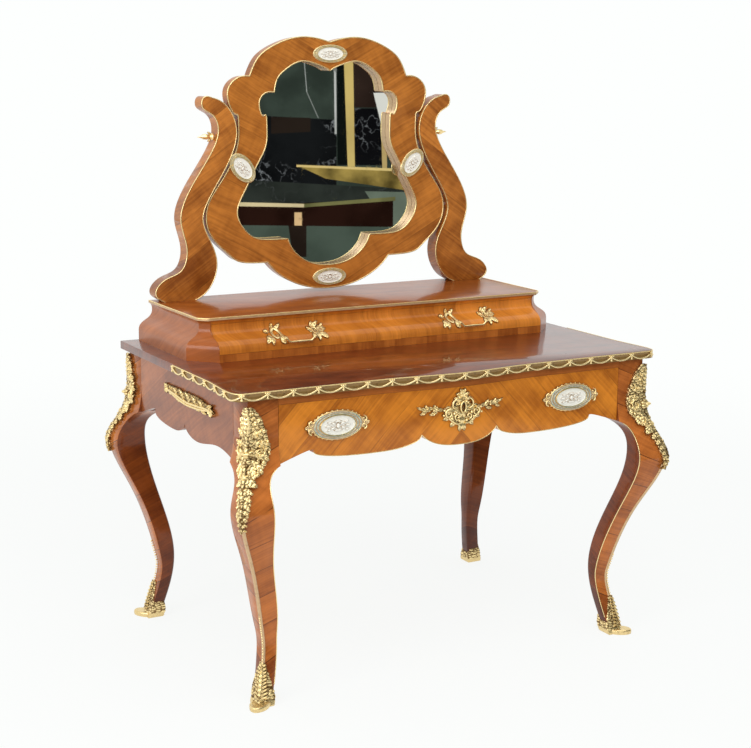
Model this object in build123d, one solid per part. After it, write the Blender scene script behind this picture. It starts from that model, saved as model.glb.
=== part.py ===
from build123d import *
import os
from math import sqrt

# Poudreuse dressing table with a swinging toilet mirror.
# Millimetres, +Z up, front towards -Y, origin on the floor under the middle of the table.

# ---- Table: heights -------------------------------------------------------------------------
TABLE_HEIGHT = 740.0        # floor to the upper face of the table top
TOP_THICKNESS = 20.0
TOP_BOTTOM = TABLE_HEIGHT - TOP_THICKNESS
HEAD_BOTTOM = TOP_BOTTOM - 152.0   # where a leg head ends and the curve of the leg starts
SWEEP_START = TOP_BOTTOM - 84.0    # the outer arris is straight above this height
KNEE_HEIGHT = TOP_BOTTOM - 242.0
MID_HEIGHT = 340.0
ANKLE_HEIGHT = 180.0
SOLE_THICKNESS = 6.0        # metal under the wooden foot

# ---- Table: plan ----------------------------------------------------------------------------
TOP_HALF_WIDTH = 567.0
TOP_BACK = 350.0            # +Y edge of the top
TOP_FRONT = 366.0           # distance of the front corners in front of the origin
TOP_BOW = 18.0              # swell of the middle of the front edge
TOP_FLARE = 8.0             # outward sweep of the sides near the front corners
TOP_FLARE_START = 200.0     # distance in front of the origin where that sweep starts
TOP_CORNER = 22.0
RIM_THICKNESS = 3.0
RIM_HEIGHT = 18.0
RIM_BACK = 0.0              # the rim runs back along each side to this Y

# ---- Legs: outward distance of the outer arris at each station ------------------------------
HEAD_X = TOP_HALF_WIDTH - 24.0
KNEE_X, ANKLE_X, FOOT_X = HEAD_X + 40.0, HEAD_X - 49.0, HEAD_X - 28.0
HEAD_FRONT = TOP_FRONT - 8.0
KNEE_FRONT, ANKLE_FRONT, FOOT_FRONT = HEAD_FRONT + 53.0, HEAD_FRONT - 40.0, HEAD_FRONT - 10.0
HEAD_BACK = TOP_BACK - 3.0
KNEE_BACK, ANKLE_BACK, FOOT_BACK = HEAD_BACK + 58.0, HEAD_BACK - 19.0, HEAD_BACK + 8.0
MID_SHARE = 0.49            # sweep that is left at MID_HEIGHT
HEAD_WIDTH = 75.0
KNEE_WIDTH = 78.0
KNEE_DEPTH = 60.0           # width at the knee in the side view
MID_WIDTH = 53.5
ANKLE_WIDTH = 41.0
FOOT_WIDTH = 34.0
INNER_ARRIS_RADIUS = 9.0
SEAM_X = HEAD_X - HEAD_WIDTH   # where a leg head meets the drawer front

# ---- Leg mounts -----------------------------------------------------------------------------
CHUTE_THICKNESS = 8.0
CHUTE_FRONT_SPREAD, CHUTE_SIDE_SPREAD = 1.0, 0.74   # breadth on the front face and on the side face
CHUTE_TOP = TOP_BOTTOM - 14.0
CHUTE_TIP = KNEE_HEIGHT - 38.0
SABOT_WALL = 4.0
SABOT_HEIGHT = 98.0        # tip of the leaf up the outer arris
SABOT_CUP_HEIGHT = 14.0
SABOT_LEAF_WIDTHS = (24.0, 5.0)   # on either side of the arris, at its foot and at its tip
TOE_LENGTH = 76.0
TOE_WIDTH = 44.0
TOE_HEIGHT = 12.0
TOE_REACH = 10.0            # how far the toe pad stands outward of the foot's middle

# ---- Aprons and rails -----------------------------------------------------------------------
APRON_THICKNESS = 20.0
SIDE_CUSP = HEAD_BOTTOM + 29.0
SIDE_LOBE = HEAD_BOTTOM
SIDE_CREST = HEAD_BOTTOM + 15.0
FRONT_RAIL_HEIGHT = 16.0
RAIL_BOTTOM = TOP_BOTTOM - FRONT_RAIL_HEIGHT
FRONT_RAIL_DEPTH = 60.0
SIDE_MOUNT_LENGTH = 300.0
SIDE_MOUNT_HEIGHT = 32.0
SIDE_MOUNT_THICKNESS = 6.0
SIDE_MOUNT_MIDDLE = (-40.0, TOP_BOTTOM - 58.0)

# ---- Main drawer ----------------------------------------------------------------------------
DRAWER_GAP = 0.6            # seam around the drawer fronts
SLIDE_GAP = 0.3             # running clearance of the drawer boxes
DRAWER_FRONT_THICKNESS = 22.0
FRONT_LOBE = HEAD_BOTTOM
FRONT_CUSP = HEAD_BOTTOM + 30.0
FRONT_CREST = HEAD_BOTTOM + 18.0
FRONT_CENTRE_LOBE = HEAD_BOTTOM - 2.0
CUSP_X = 104.0
LOBE_X, CREST_X = CUSP_X + 106.0, SEAM_X - 88.0
DRAWER_SIDE_BOTTOM = FRONT_CUSP + 6.0
DRAWER_SIDE_TOP = RAIL_BOTTOM - 10.0
DRAWER_SIDE_OUT = SEAM_X - 18.0
DRAWER_WALL = 12.0
DRAWER_BACK = HEAD_BACK - 97.0
DRAWER_BOTTOM_THICKNESS = 8.0
DRAWER_BOTTOM_LIFT = 6.0    # lower face of the bottom above the lower edge of the sides
RUNNER_THICKNESS = 12.0
RUNNER_BEARING = 20.0       # how far the runner reaches under the drawer
KEYHOLE_HEIGHT = TOP_BOTTOM - 61.0
KEYHOLE_RADIUS = 4.0
KEYHOLE_SLOT = 14.0
LOCK_SIZE = (60.0, 10.0, 50.0)
ESCUTCHEON_THICKNESS = 5.0
ESCUTCHEON_HALF_WIDTH = 61.0
ESCUTCHEON_TOP = TOP_BOTTOM - 30.0
ESCUTCHEON_BOTTOM = TOP_BOTTOM - 120.0
ESCUTCHEON_ARM = 125.0
MEDALLION_X = SEAM_X - 146.0
BOW_HALF_WIDTH = MEDALLION_X - 87.0   # half width of the swelling part of the front
MEDALLION_HEIGHT = TOP_BOTTOM - 76.0
MEDALLION_RADII = (54.0, 33.0)
MEDALLION_EAR = 80.0
MEDALLION_THICKNESS = 6.0
PLAQUE_RADII = (43.0, 25.0)
PLAQUE_THICKNESS = 7.5

# ---- Upper case with two small drawers ------------------------------------------------------
CASE_BASE = TABLE_HEIGHT
CASE_HEIGHT = 101.0
CASE_TOP = CASE_BASE + CASE_HEIGHT
CASE_BOARD = 8.0
BOARD_BOTTOM = CASE_TOP - CASE_BOARD
BOARD_HALF_WIDTH = 493.0
BOARD_FRONT = -10.0         # distance of the board's front edge in front of the origin
BOARD_CANT = 20.0
CASE_BACK = TOP_BACK - 13.0
NECK_X = BOARD_HALF_WIDTH - 8.0
BASE_X = NECK_X + 37.0
NECK_FRONT, BASE_FRONT = -18.0, 30.0
NECK_CANT, BASE_CANT = 20.0, 60.0
OGEE_BOTTOM = CASE_BASE + 26.0
OGEE_TOP = BOARD_BOTTOM - 15.0
COVE = 6.0                  # how far the cove under the board flares out
CASE_INNER = NECK_X - 23.0
CASE_FLOOR = 12.0
PLINTH_HEIGHT = 18.0
CASE_RAIL_HEIGHT = 8.0
STILE_HALF_WIDTH = 35.0
DIVIDER_WALL = 10.0
CASE_BACK_THICKNESS = 12.0
SMALL_FRONT_BACK = 30.0     # flat inner face of the small drawer fronts
TRAY_WALL = 8.0
TRAY_FLOOR = 6.0
TRAY_HEIGHT = 54.0
TRAY_BACK = CASE_BACK - 21.0

# ---- Bail handles ---------------------------------------------------------------------------
HANDLE_X = 249.0
LEAF_HEIGHT = CASE_BASE + 54.0
LEAF_SPREAD = 56.0
LEAF_RADII = (31.0, 19.0)
LEAF_THICKNESS = 4.0
BAIL_AXIS = (36.0, CASE_BASE + 45.0)   # distance in front of the origin, height
BAIL_HALF_WIDTH = 40.0
BAIL_ROD = 2.2
BAIL_DROP = 9.0
BAIL_PIN = 6.0              # length of each pin inside its post
POST_RADIUS = 4.5
POST_WIDTH = 8.0
PIN_FIT = 0.06

# ---- Toilet mirror and its standards --------------------------------------------------------
PIVOT_Y = CASE_BACK - 30.0
PIVOT_LIFT = 409.0          # height of the pivots above the board of the case
PIVOT_HEIGHT = CASE_TOP + PIVOT_LIFT
FRAME_THICKNESS = 32.0
STANDARD_THICKNESS = 45.0
GLASS_DEPTH = 23.0          # from the frame's face to the glass
GLASS_THICKNESS = 4.0
REBATE = 7.0
SCREW_RADIUS = 4.0
SCREW_FIT = 0.06
SCREW_TIP = 236.0           # inner end of each pivot screw
SCREW_END_GAP = 1.0
SCREW_SHOULDER = 325.0      # where the finial starts, just outside the standard
FINIAL_LENGTH = 48.0
FINIAL_RADIUS = 8.0
MEDAL_THICKNESS = 5.0
TOP_MEDAL = (0.0, 207.0)    # medal middles are measured from the middle of the pivot axis
LOW_MEDAL = (0.0, -373.0)
SIDE_MEDAL = (251.0, -80.0)
FLAT_MEDAL_RADII = (49.0, 22.0)
TILTED_MEDAL_RADII = (43.0, 27.0)
MEDAL_TILT = 48.0

FRAME_FACE = PIVOT_Y - FRAME_THICKNESS / 2
FAR = 2000.0


# ---- Views: a flat outline drawn in one view becomes a solid between two planes --------------
def front_view(face, y_front, y_back):
    plane = Plane((0, y_back, 0), x_dir=(1, 0, 0), z_dir=(0, -1, 0))
    return extrude(plane * face, amount=y_back - y_front)


def side_view(face, x_low, x_high):
    plane = Plane((x_low, 0, 0), x_dir=(0, 1, 0), z_dir=(1, 0, 0))
    return extrude(plane * face, amount=x_high - x_low)


def plan_view(face, z_low, z_high):
    return extrude(Plane.XY.offset(z_low) * face, amount=z_high - z_low)


def block(x_range, y_range, z_range):
    size = [high - low for low, high in (x_range, y_range, z_range)]
    middle = [(high + low) / 2 for low, high in (x_range, y_range, z_range)]
    return Pos(*middle) * Box(*size)


def flip_x(shape):
    return mirror(shape, about=Plane.YZ)


def rod_x(x_low, x_high, y, z, radius):
    return Pos((x_low + x_high) / 2, y, z) * Rot(0, 90, 0) * Cylinder(radius, x_high - x_low)


def one_solid(shape):
    return max(shape.solids(), key=lambda solid: solid.volume)


# ---- Table top and rim ----------------------------------------------------------------------
def bowed_front(y_end, half_width, bow, grow=0.0):
    """Front line from left to right: flat ends and a swelling middle."""
    y_line = -y_end - grow
    left, right = (-BOW_HALF_WIDTH, y_line), (BOW_HALF_WIDTH, y_line)
    swell = Spline(left, (0, y_line - bow), right, tangents=[(1, 0), (1, 0)])
    return [Line((-half_width, y_line), left), swell, Line(right, (half_width, y_line))]


def top_outline(grow=0.0):
    front = bowed_front(TOP_FRONT, TOP_HALF_WIDTH + TOP_FLARE - TOP_CORNER, TOP_BOW, grow)
    start = front[2] @ 1
    tip = (TOP_HALF_WIDTH + TOP_FLARE + grow, -TOP_FRONT + 1.6 * TOP_CORNER)
    flat = (TOP_HALF_WIDTH + grow, -TOP_FLARE_START)
    corner = Spline(start, tip, tangents=[(1, 0), (0.06, 1)])
    flare = Spline(tip, flat, tangents=[(0.0, 1), (0, 1)])
    side = Line(flat, (TOP_HALF_WIDTH + grow, TOP_BACK))
    right = [corner, flare, side]
    left = [edge.mirror(Plane.YZ) for edge in right]
    back = Line(left[2] @ 1, side @ 1)
    return make_face(front + right + left + [back])


def make_table_top():
    return plan_view(top_outline(), TOP_BOTTOM, TABLE_HEIGHT)


def make_rim():
    band = top_outline(RIM_THICKNESS) - top_outline()
    rim = plan_view(band, TABLE_HEIGHT - RIM_HEIGHT - 0.5, TABLE_HEIGHT - 0.5)
    return rim & block((-FAR, FAR), (-FAR, RIM_BACK), (0, FAR))


# ---- Legs -----------------------------------------------------------------------------------
def arris_points(head, knee, ankle, foot, low, grow=0.0):
    middle = ankle + MID_SHARE * (knee - ankle)
    stations = [(head, SWEEP_START), (knee, KNEE_HEIGHT), (middle, MID_HEIGHT),
                (ankle, ANKLE_HEIGHT), (foot, low)]
    return [(out + grow, height) for out, height in stations]


def leg_outline(head, knee, ankle, foot, knee_width, low=SOLE_THICKNESS, grow=0.0):
    """Outline in one view, as (outward distance, height), grown to either side."""
    outer_points = arris_points(head, knee, ankle, foot, low, grow)
    outer = Spline(outer_points, tangents=[(0, -1), (0.25, -1)])
    middle = outer_points[2][0] - 2 * grow
    inner = Spline((foot - FOOT_WIDTH - grow, low), (ankle - ANKLE_WIDTH - grow, ANKLE_HEIGHT),
                   (middle - MID_WIDTH, MID_HEIGHT), (knee - knee_width - grow, KNEE_HEIGHT + 12),
                   (head - HEAD_WIDTH - grow, HEAD_BOTTOM), tangents=[(-0.25, 1), (-1, 0.35)])
    near, far = head - HEAD_WIDTH - grow, head + grow
    edges = [Line((far, TOP_BOTTOM), outer @ 0), outer, Line(outer @ 1, inner @ 0), inner,
             Line(inner @ 1, (near, TOP_BOTTOM)), Line((near, TOP_BOTTOM), (far, TOP_BOTTOM))]
    return make_face(edges)


def cross_views(x_face, out_face, front):
    """Solid that shows x_face from the front and out_face from the side, for one corner."""
    from_front = front_view(x_face, -FAR / 2, FAR / 2)
    from_side = side_view(out_face, -FAR / 2, FAR / 2)
    if front:
        from_side = mirror(from_side, about=Plane.XZ)
    return from_front & from_side


def depth_stations(front):
    if front:
        return HEAD_FRONT, KNEE_FRONT, ANKLE_FRONT, FOOT_FRONT
    return HEAD_BACK, KNEE_BACK, ANKLE_BACK, FOOT_BACK


def make_leg(front):
    x_face = leg_outline(HEAD_X, KNEE_X, ANKLE_X, FOOT_X, KNEE_WIDTH)
    leg = one_solid(cross_views(x_face, leg_outline(*depth_stations(front), KNEE_DEPTH), front))
    inner = [edge for edge in leg.edges() if is_inner_arris(edge)]
    return one_solid(fillet(inner, INNER_ARRIS_RADIUS)) if inner else leg


def is_inner_arris(edge):
    """The long curved edge that faces the middle of the table, below the head."""
    box = edge.bounding_box()
    tall = box.size.Z > 0.5 * HEAD_BOTTOM and box.min.Z < SOLE_THICKNESS + 1
    foot = min(edge.vertices(), key=lambda vertex: vertex.Z)
    inside_x = foot.X < FOOT_X - FOOT_WIDTH / 2
    inside_y = abs(foot.Y) < min(FOOT_FRONT, FOOT_BACK) - FOOT_WIDTH / 3
    return tall and inside_x and inside_y


# ---- Gilt mounts on the legs ----------------------------------------------------------------
def chute_outline(head, knee, ankle, foot, spread):
    """Corner mount in one view: broad shell above, leaf below, ending in a point."""
    outer = Spline(arris_points(head, knee, ankle, foot, 0, CHUTE_THICKNESS),
                   tangents=[(0, -1), (0.25, -1)])
    column = [Line((head + CHUTE_THICKNESS, CHUTE_TOP), outer @ 0), outer,
              Line(outer @ 1, (0, 0)), Line((0, 0), (0, CHUTE_TOP)),
              Line((0, CHUTE_TOP), (head + CHUTE_THICKNESS, CHUTE_TOP))]
    sweep = knee - head
    edge = Spline((head - 8 * spread, CHUTE_TOP), (head - 32 * spread, CHUTE_TOP - 31),
                  (head - 43 * spread, CHUTE_TOP - 60), (head - 50 * spread, HEAD_BOTTOM + 36),
                  (head + 0.4 * sweep - 34 * spread, HEAD_BOTTOM - 6), (head + 0.6 * sweep - 13, HEAD_BOTTOM - 27),
                  (head + 0.9 * sweep - 20, KNEE_HEIGHT + 37), (knee - 12, KNEE_HEIGHT), (knee, CHUTE_TIP))
    outside = knee + 4 * CHUTE_THICKNESS
    mask = [edge, Line(edge @ 1, (outside, CHUTE_TIP)), Line((outside, CHUTE_TIP), (outside, CHUTE_TOP)),
            Line((outside, CHUTE_TOP), edge @ 0)]
    return make_face(column) & make_face(mask)


def make_chute(front, leg):
    x_face = chute_outline(HEAD_X, KNEE_X, ANKLE_X, FOOT_X, CHUTE_FRONT_SPREAD)
    body = cross_views(x_face, chute_outline(*depth_stations(front), CHUTE_SIDE_SPREAD), front)
    return one_solid(body - leg)


def shoe_mask(ankle):
    """Keeps a low cup with one tall leaf up the outer arris."""
    low, near, far = -SABOT_HEIGHT, ankle - 3 * ANKLE_WIDTH, ankle + 3 * ANKLE_WIDTH
    broad, slim = SABOT_LEAF_WIDTHS
    corners = [(near, low), (near, SABOT_CUP_HEIGHT), (ankle - broad, SABOT_CUP_HEIGHT), (ankle - slim, SABOT_HEIGHT),
               (far, SABOT_HEIGHT), (far, low)]
    return make_face(Polyline(corners, close=True))


def make_sabot(front, leg):
    head, knee, ankle, foot = depth_stations(front)
    column = cross_views(leg_outline(HEAD_X, KNEE_X, ANKLE_X, FOOT_X, KNEE_WIDTH, 0, SABOT_WALL),
                         leg_outline(head, knee, ankle, foot, KNEE_DEPTH, 0, SABOT_WALL), front)
    cup = one_solid(column & cross_views(shoe_mask(ANKLE_X), shoe_mask(ankle), front))
    side = -1 if front else 1
    middle = Pos(FOOT_X - FOOT_WIDTH / 2 + TOE_REACH, side * (foot - FOOT_WIDTH / 2 + TOE_REACH))
    pad = middle * Rot(0, 0, side * 45) * extrude(Ellipse(TOE_LENGTH / 2, TOE_WIDTH / 2), TOE_HEIGHT)
    pad = fillet(pad.edges().group_by(Axis.Z)[-1], TOE_HEIGHT / 3)
    return one_solid(cup + pad - leg)


# ---- Aprons, rails and runners --------------------------------------------------------------
def side_apron_edge(y_front, y_back):
    """Lower edge of a side apron, from front to back, with a cusp in the middle."""
    middle = (y_front + y_back) / 2
    half = (y_back - y_front) / 2
    shape = [(0, SIDE_CUSP), (0.08 * half, SIDE_CUSP - 21), (0.30 * half, SIDE_LOBE),
             (0.66 * half, SIDE_CREST), (half, HEAD_BOTTOM)]
    back = Spline([(middle + y, z) for y, z in shape], tangents=[(0.3, -1), (1, -0.35)])
    front = Spline([(middle - y, z) for y, z in reversed(shape)], tangents=[(1, 0.35), (0.3, 1)])
    return [front, back]


def make_side_apron():
    y_front, y_back = HEAD_WIDTH - HEAD_FRONT, HEAD_BACK - HEAD_WIDTH
    lower = side_apron_edge(y_front, y_back)
    edges = lower + [Line(lower[1] @ 1, (y_back, TOP_BOTTOM)), Line((y_back, TOP_BOTTOM), (y_front, TOP_BOTTOM)),
                     Line((y_front, TOP_BOTTOM), lower[0] @ 0)]
    return side_view(make_face(edges), HEAD_X - APRON_THICKNESS, HEAD_X)


def front_apron_edge(half_width):
    """Lower edge of the drawer front, from left to right: three lobes between two cusps."""
    outer = Spline((CUSP_X, FRONT_CUSP), (CUSP_X + 24, FRONT_CUSP - 19), (LOBE_X, FRONT_LOBE),
                   (CREST_X, FRONT_CREST), (half_width, HEAD_BOTTOM + 0.5),
                   tangents=[(0.3, -1), (1, -0.35)])
    centre = Spline((-CUSP_X, FRONT_CUSP), (0, FRONT_CENTRE_LOBE), (CUSP_X, FRONT_CUSP),
                    tangents=[(0.9, -1), (0.9, 1)])
    return [outer.mirror(Plane.YZ), centre, outer]


def apron_face(half_width, top):
    lower = front_apron_edge(half_width)
    right, left = (half_width, top), (-half_width, top)
    edges = lower + [Line(lower[2] @ 1, right), Line(right, left), Line(left, lower[0] @ 1)]
    return make_face(edges)


def make_back_apron():
    y_back = HEAD_BACK - 2
    return front_view(apron_face(SEAM_X, TOP_BOTTOM), y_back - APRON_THICKNESS, y_back)


def bow_plan(y_end, bow, depth, half_width):
    """Plan of a straight-backed board with a bowed front."""
    front = bowed_front(y_end, half_width, bow)
    y_back = depth - y_end
    edges = front + [Line(front[2] @ 1, (half_width, y_back)),
                     Line((half_width, y_back), (-half_width, y_back)),
                     Line((-half_width, y_back), front[0] @ 0)]
    return make_face(edges)


def make_front_rail():
    bow = TOP_BOW - 2
    return plan_view(bow_plan(HEAD_FRONT, bow, FRONT_RAIL_DEPTH, SEAM_X), RAIL_BOTTOM, TOP_BOTTOM)


def make_runner():
    y_range = (HEAD_WIDTH - HEAD_FRONT, HEAD_BACK - HEAD_WIDTH)
    top = DRAWER_SIDE_BOTTOM - SLIDE_GAP
    inner = HEAD_X - APRON_THICKNESS
    bearing = block((DRAWER_SIDE_OUT - RUNNER_BEARING, inner), y_range, (top - RUNNER_THICKNESS, top))
    guide_x = DRAWER_SIDE_OUT + SLIDE_GAP
    guide = block((guide_x, guide_x + RUNNER_THICKNESS), y_range, (top, DRAWER_SIDE_TOP))
    return bearing + guide


def make_side_mount():
    """Long leafy mount: two tapering scrolls from a raised middle."""
    y_middle, z_middle = SIDE_MOUNT_MIDDLE
    half, rise = SIDE_MOUNT_LENGTH / 2, SIDE_MOUNT_HEIGHT / 2
    upper = Spline((-half, -4), (-0.6 * half, 0.75 * rise), (-0.2 * half, rise), (0.25 * half, 0.8 * rise),
                   (0.7 * half, 0.9 * rise), (half, 3))
    lower = Spline((half, 3), (0.6 * half, -0.35 * rise), (0, -rise), (-0.55 * half, -0.7 * rise),
                   (-half, -4))
    face = Pos(y_middle, z_middle) * make_face([upper, lower])
    return side_view(face, HEAD_X, HEAD_X + SIDE_MOUNT_THICKNESS)


# ---- Main drawer ----------------------------------------------------------------------------
def keyhole(y_front, y_back):
    slot = Pos(0, KEYHOLE_HEIGHT - KEYHOLE_SLOT / 2) * Rectangle(KEYHOLE_RADIUS, KEYHOLE_SLOT)
    return front_view(Pos(0, KEYHOLE_HEIGHT) * Circle(KEYHOLE_RADIUS) + slot, y_front, y_back)


def drawer_front_blank():
    half_width = SEAM_X - DRAWER_GAP
    plan = plan_view(bow_plan(HEAD_FRONT, TOP_BOW - 2, DRAWER_FRONT_THICKNESS, half_width), 0, FAR)
    return plan & front_view(apron_face(half_width, RAIL_BOTTOM - DRAWER_GAP), -FAR / 2, FAR / 2)


def make_drawer_front():
    return drawer_front_blank() - keyhole(-HEAD_FRONT - 2 * TOP_BOW, 0)


def make_drawer_side():
    y_range = (DRAWER_FRONT_THICKNESS - HEAD_FRONT, DRAWER_BACK)
    return block((DRAWER_SIDE_OUT - DRAWER_WALL, DRAWER_SIDE_OUT), y_range,
                 (DRAWER_SIDE_BOTTOM, DRAWER_SIDE_TOP))


def drawer_inside():
    return DRAWER_SIDE_OUT - DRAWER_WALL


def make_drawer_back():
    return block((-drawer_inside(), drawer_inside()), (DRAWER_BACK - DRAWER_WALL, DRAWER_BACK),
                 (DRAWER_SIDE_BOTTOM, DRAWER_SIDE_TOP))


def make_drawer_bottom():
    low = DRAWER_SIDE_BOTTOM + DRAWER_BOTTOM_LIFT
    y_range = (DRAWER_FRONT_THICKNESS - HEAD_FRONT, DRAWER_BACK - DRAWER_WALL)
    return block((-drawer_inside(), drawer_inside()), y_range, (low, low + DRAWER_BOTTOM_THICKNESS))


def make_lock():
    width, depth, height = LOCK_SIZE
    y_seat = DRAWER_FRONT_THICKNESS - HEAD_FRONT
    z_top = DRAWER_SIDE_TOP
    body = block((-width / 2, width / 2), (y_seat, y_seat + depth), (z_top - height, z_top))
    return body - keyhole(y_seat, y_seat + depth / 2)


def make_escutcheon():
    """Cartouche around the keyhole that follows the bowed drawer front."""
    half, top, low, arm = ESCUTCHEON_HALF_WIDTH, ESCUTCHEON_TOP, ESCUTCHEON_BOTTOM, ESCUTCHEON_ARM
    middle = (top + low) / 2
    right = [(0, top), (0.45 * half, top - 8), (0.95 * half, top - 16), (0.85 * half, middle + 12),
             (arm, middle + 9), (arm - 10, middle - 4), (0.85 * half, middle - 8),
             (0.9 * half, low + 16), (0.4 * half, low + 8), (0, low)]
    left = [(-x, z) for x, z in reversed(right[1:-1])]
    outline = make_face(Spline(right + left, periodic=True))
    band = plan_view(bow_plan(HEAD_FRONT + ESCUTCHEON_THICKNESS, TOP_BOW - 2,
                              DRAWER_FRONT_THICKNESS, SEAM_X - DRAWER_GAP), 0, FAR)
    plate = band & front_view(outline, -FAR / 2, DRAWER_FRONT_THICKNESS / 2 - HEAD_FRONT)
    return one_solid(plate - drawer_front_blank() - keyhole(-FAR / 2, 0))


def make_medallion_frame():
    """Oval gilt frame with a scrolled ear at each end."""
    ear = Ellipse(MEDALLION_EAR - MEDALLION_RADII[0] * 0.6, 0.38 * MEDALLION_RADII[1])
    reach = MEDALLION_RADII[0] * 0.6
    outline = Ellipse(*MEDALLION_RADII) + Pos(reach, 0) * ear + Pos(-reach, 0) * ear
    face = Pos(MEDALLION_X, MEDALLION_HEIGHT) * (outline - Ellipse(*PLAQUE_RADII))
    return front_view(face, -HEAD_FRONT - MEDALLION_THICKNESS, -HEAD_FRONT)


def make_medallion_plaque():
    face = Pos(MEDALLION_X, MEDALLION_HEIGHT) * Ellipse(*PLAQUE_RADII)
    plaque = front_view(face, -HEAD_FRONT - PLAQUE_THICKNESS, -HEAD_FRONT)
    return fillet(plaque.edges().group_by(Axis.Y)[0], 2)


# ---- Upper case -----------------------------------------------------------------------------
def case_outline(neck, base, inner):
    """Ogee side in one view, as (outward distance, height)."""
    rise = Spline((base, OGEE_BOTTOM), ((base + neck) / 2, (OGEE_BOTTOM + OGEE_TOP) / 2),
                  (neck, OGEE_TOP), tangents=[(0, 1), (0, 1)])
    cove = Spline((neck, OGEE_TOP), (neck + COVE, BOARD_BOTTOM), tangents=[(0, 1), (1, 0.6)])
    edges = [Line((inner, CASE_BASE), (base, CASE_BASE)), Line((base, CASE_BASE), (base, OGEE_BOTTOM)),
             rise, cove, Line(cove @ 1, (inner, BOARD_BOTTOM)), Line((inner, BOARD_BOTTOM), (inner, CASE_BASE))]
    return make_face(edges)


def make_case_body():
    """Solid of the whole case below its board, cut into its pieces afterwards."""
    right = case_outline(NECK_X, BASE_X, 0)
    sides = front_view(right, -FAR / 2, CASE_BACK) + flip_x(front_view(right, -FAR / 2, CASE_BACK))
    front = mirror(side_view(case_outline(NECK_FRONT, BASE_FRONT, -CASE_BACK), -FAR / 2, FAR / 2),
                   about=Plane.XZ)
    neck_out = (NECK_X + NECK_FRONT - NECK_CANT) / sqrt(2)
    base_out = (BASE_X + BASE_FRONT - BASE_CANT) / sqrt(2)
    diagonal = Plane((FAR / 2, FAR / 2, 0), x_dir=(1, -1, 0), z_dir=(-1, -1, 0))
    cant = extrude(diagonal * case_outline(neck_out, base_out, -FAR / 2), amount=1.5 * FAR)
    return sides & front & cant & flip_x(cant)


def make_case_board():
    half, front, cant = BOARD_HALF_WIDTH, -BOARD_FRONT, BOARD_CANT
    corners = [(-half, CASE_BACK), (-half, front + cant), (cant - half, front), (half - cant, front),
               (half, front + cant), (half, CASE_BACK)]
    board = plan_view(make_face(Polyline(corners, close=True)), BOARD_BOTTOM, CASE_TOP)
    front_edges = [edge for edge in board.edges().group_by(Axis.Z)[0] if edge.center().Y < CASE_BACK - 1]
    return fillet(front_edges, CASE_BOARD / 4)


def make_case_end(body):
    return body & block((CASE_INNER, FAR), (-FAR, CASE_BACK), (CASE_BASE, BOARD_BOTTOM))


def make_case_back():
    return block((-CASE_INNER, CASE_INNER), (CASE_BACK - CASE_BACK_THICKNESS, CASE_BACK),
                 (CASE_BASE, BOARD_BOTTOM))


def make_plinth(body):
    return body & block((-CASE_INNER, CASE_INNER), (-FAR, -BOARD_FRONT), (CASE_BASE, CASE_BASE + PLINTH_HEIGHT))


def make_case_floor():
    top = CASE_BASE + PLINTH_HEIGHT
    return block((-CASE_INNER, CASE_INNER), (-BOARD_FRONT, CASE_BACK - CASE_BACK_THICKNESS),
                 (top - CASE_FLOOR, top))


def make_case_rail(body):
    return body & block((-CASE_INNER, CASE_INNER), (-FAR, SMALL_FRONT_BACK + 20),
                        (BOARD_BOTTOM - CASE_RAIL_HEIGHT, BOARD_BOTTOM))


def make_divider(body):
    z_range = (CASE_BASE + PLINTH_HEIGHT, BOARD_BOTTOM - CASE_RAIL_HEIGHT)
    stile = body & block((-STILE_HALF_WIDTH, STILE_HALF_WIDTH), (-FAR, SMALL_FRONT_BACK), z_range)
    web = block((STILE_HALF_WIDTH - DIVIDER_WALL, STILE_HALF_WIDTH),
                (SMALL_FRONT_BACK, CASE_BACK - CASE_BACK_THICKNESS), z_range)
    return stile + web + flip_x(web)


def small_drawer_range():
    return STILE_HALF_WIDTH + DRAWER_GAP, CASE_INNER - DRAWER_GAP


def make_small_front(body):
    z_range = (CASE_BASE + PLINTH_HEIGHT + DRAWER_GAP, BOARD_BOTTOM - CASE_RAIL_HEIGHT - DRAWER_GAP)
    return body & block(small_drawer_range(), (-FAR, SMALL_FRONT_BACK), z_range)


def make_small_tray():
    """Sides, back and bottom of a small drawer, glued up as one box open to the front."""
    low_x, high_x = small_drawer_range()
    low = CASE_BASE + PLINTH_HEIGHT + SLIDE_GAP
    outer = block((low_x, high_x), (SMALL_FRONT_BACK, TRAY_BACK), (low, low + TRAY_HEIGHT))
    inner = block((low_x + TRAY_WALL, high_x - TRAY_WALL), (SMALL_FRONT_BACK - 1, TRAY_BACK - TRAY_WALL),
                  (low + TRAY_FLOOR, FAR))
    return outer - inner


# ---- Bail handles ---------------------------------------------------------------------------
def leaf_outline():
    """One leafy half of a handle plate, right of the handle's middle."""
    wide, tall = LEAF_RADII
    points = [(-wide, -0.55 * tall), (-0.75 * wide, 0.3 * tall), (-0.3 * wide, tall), (0.25 * wide, 0.85 * tall),
              (1.05 * wide, 0.35 * tall), (0.6 * wide, -0.25 * tall), (0.1 * wide, -tall), (-0.5 * wide, -tall)]
    return Pos(LEAF_SPREAD, LEAF_HEIGHT) * make_face(Spline(points, periodic=True))


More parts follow.
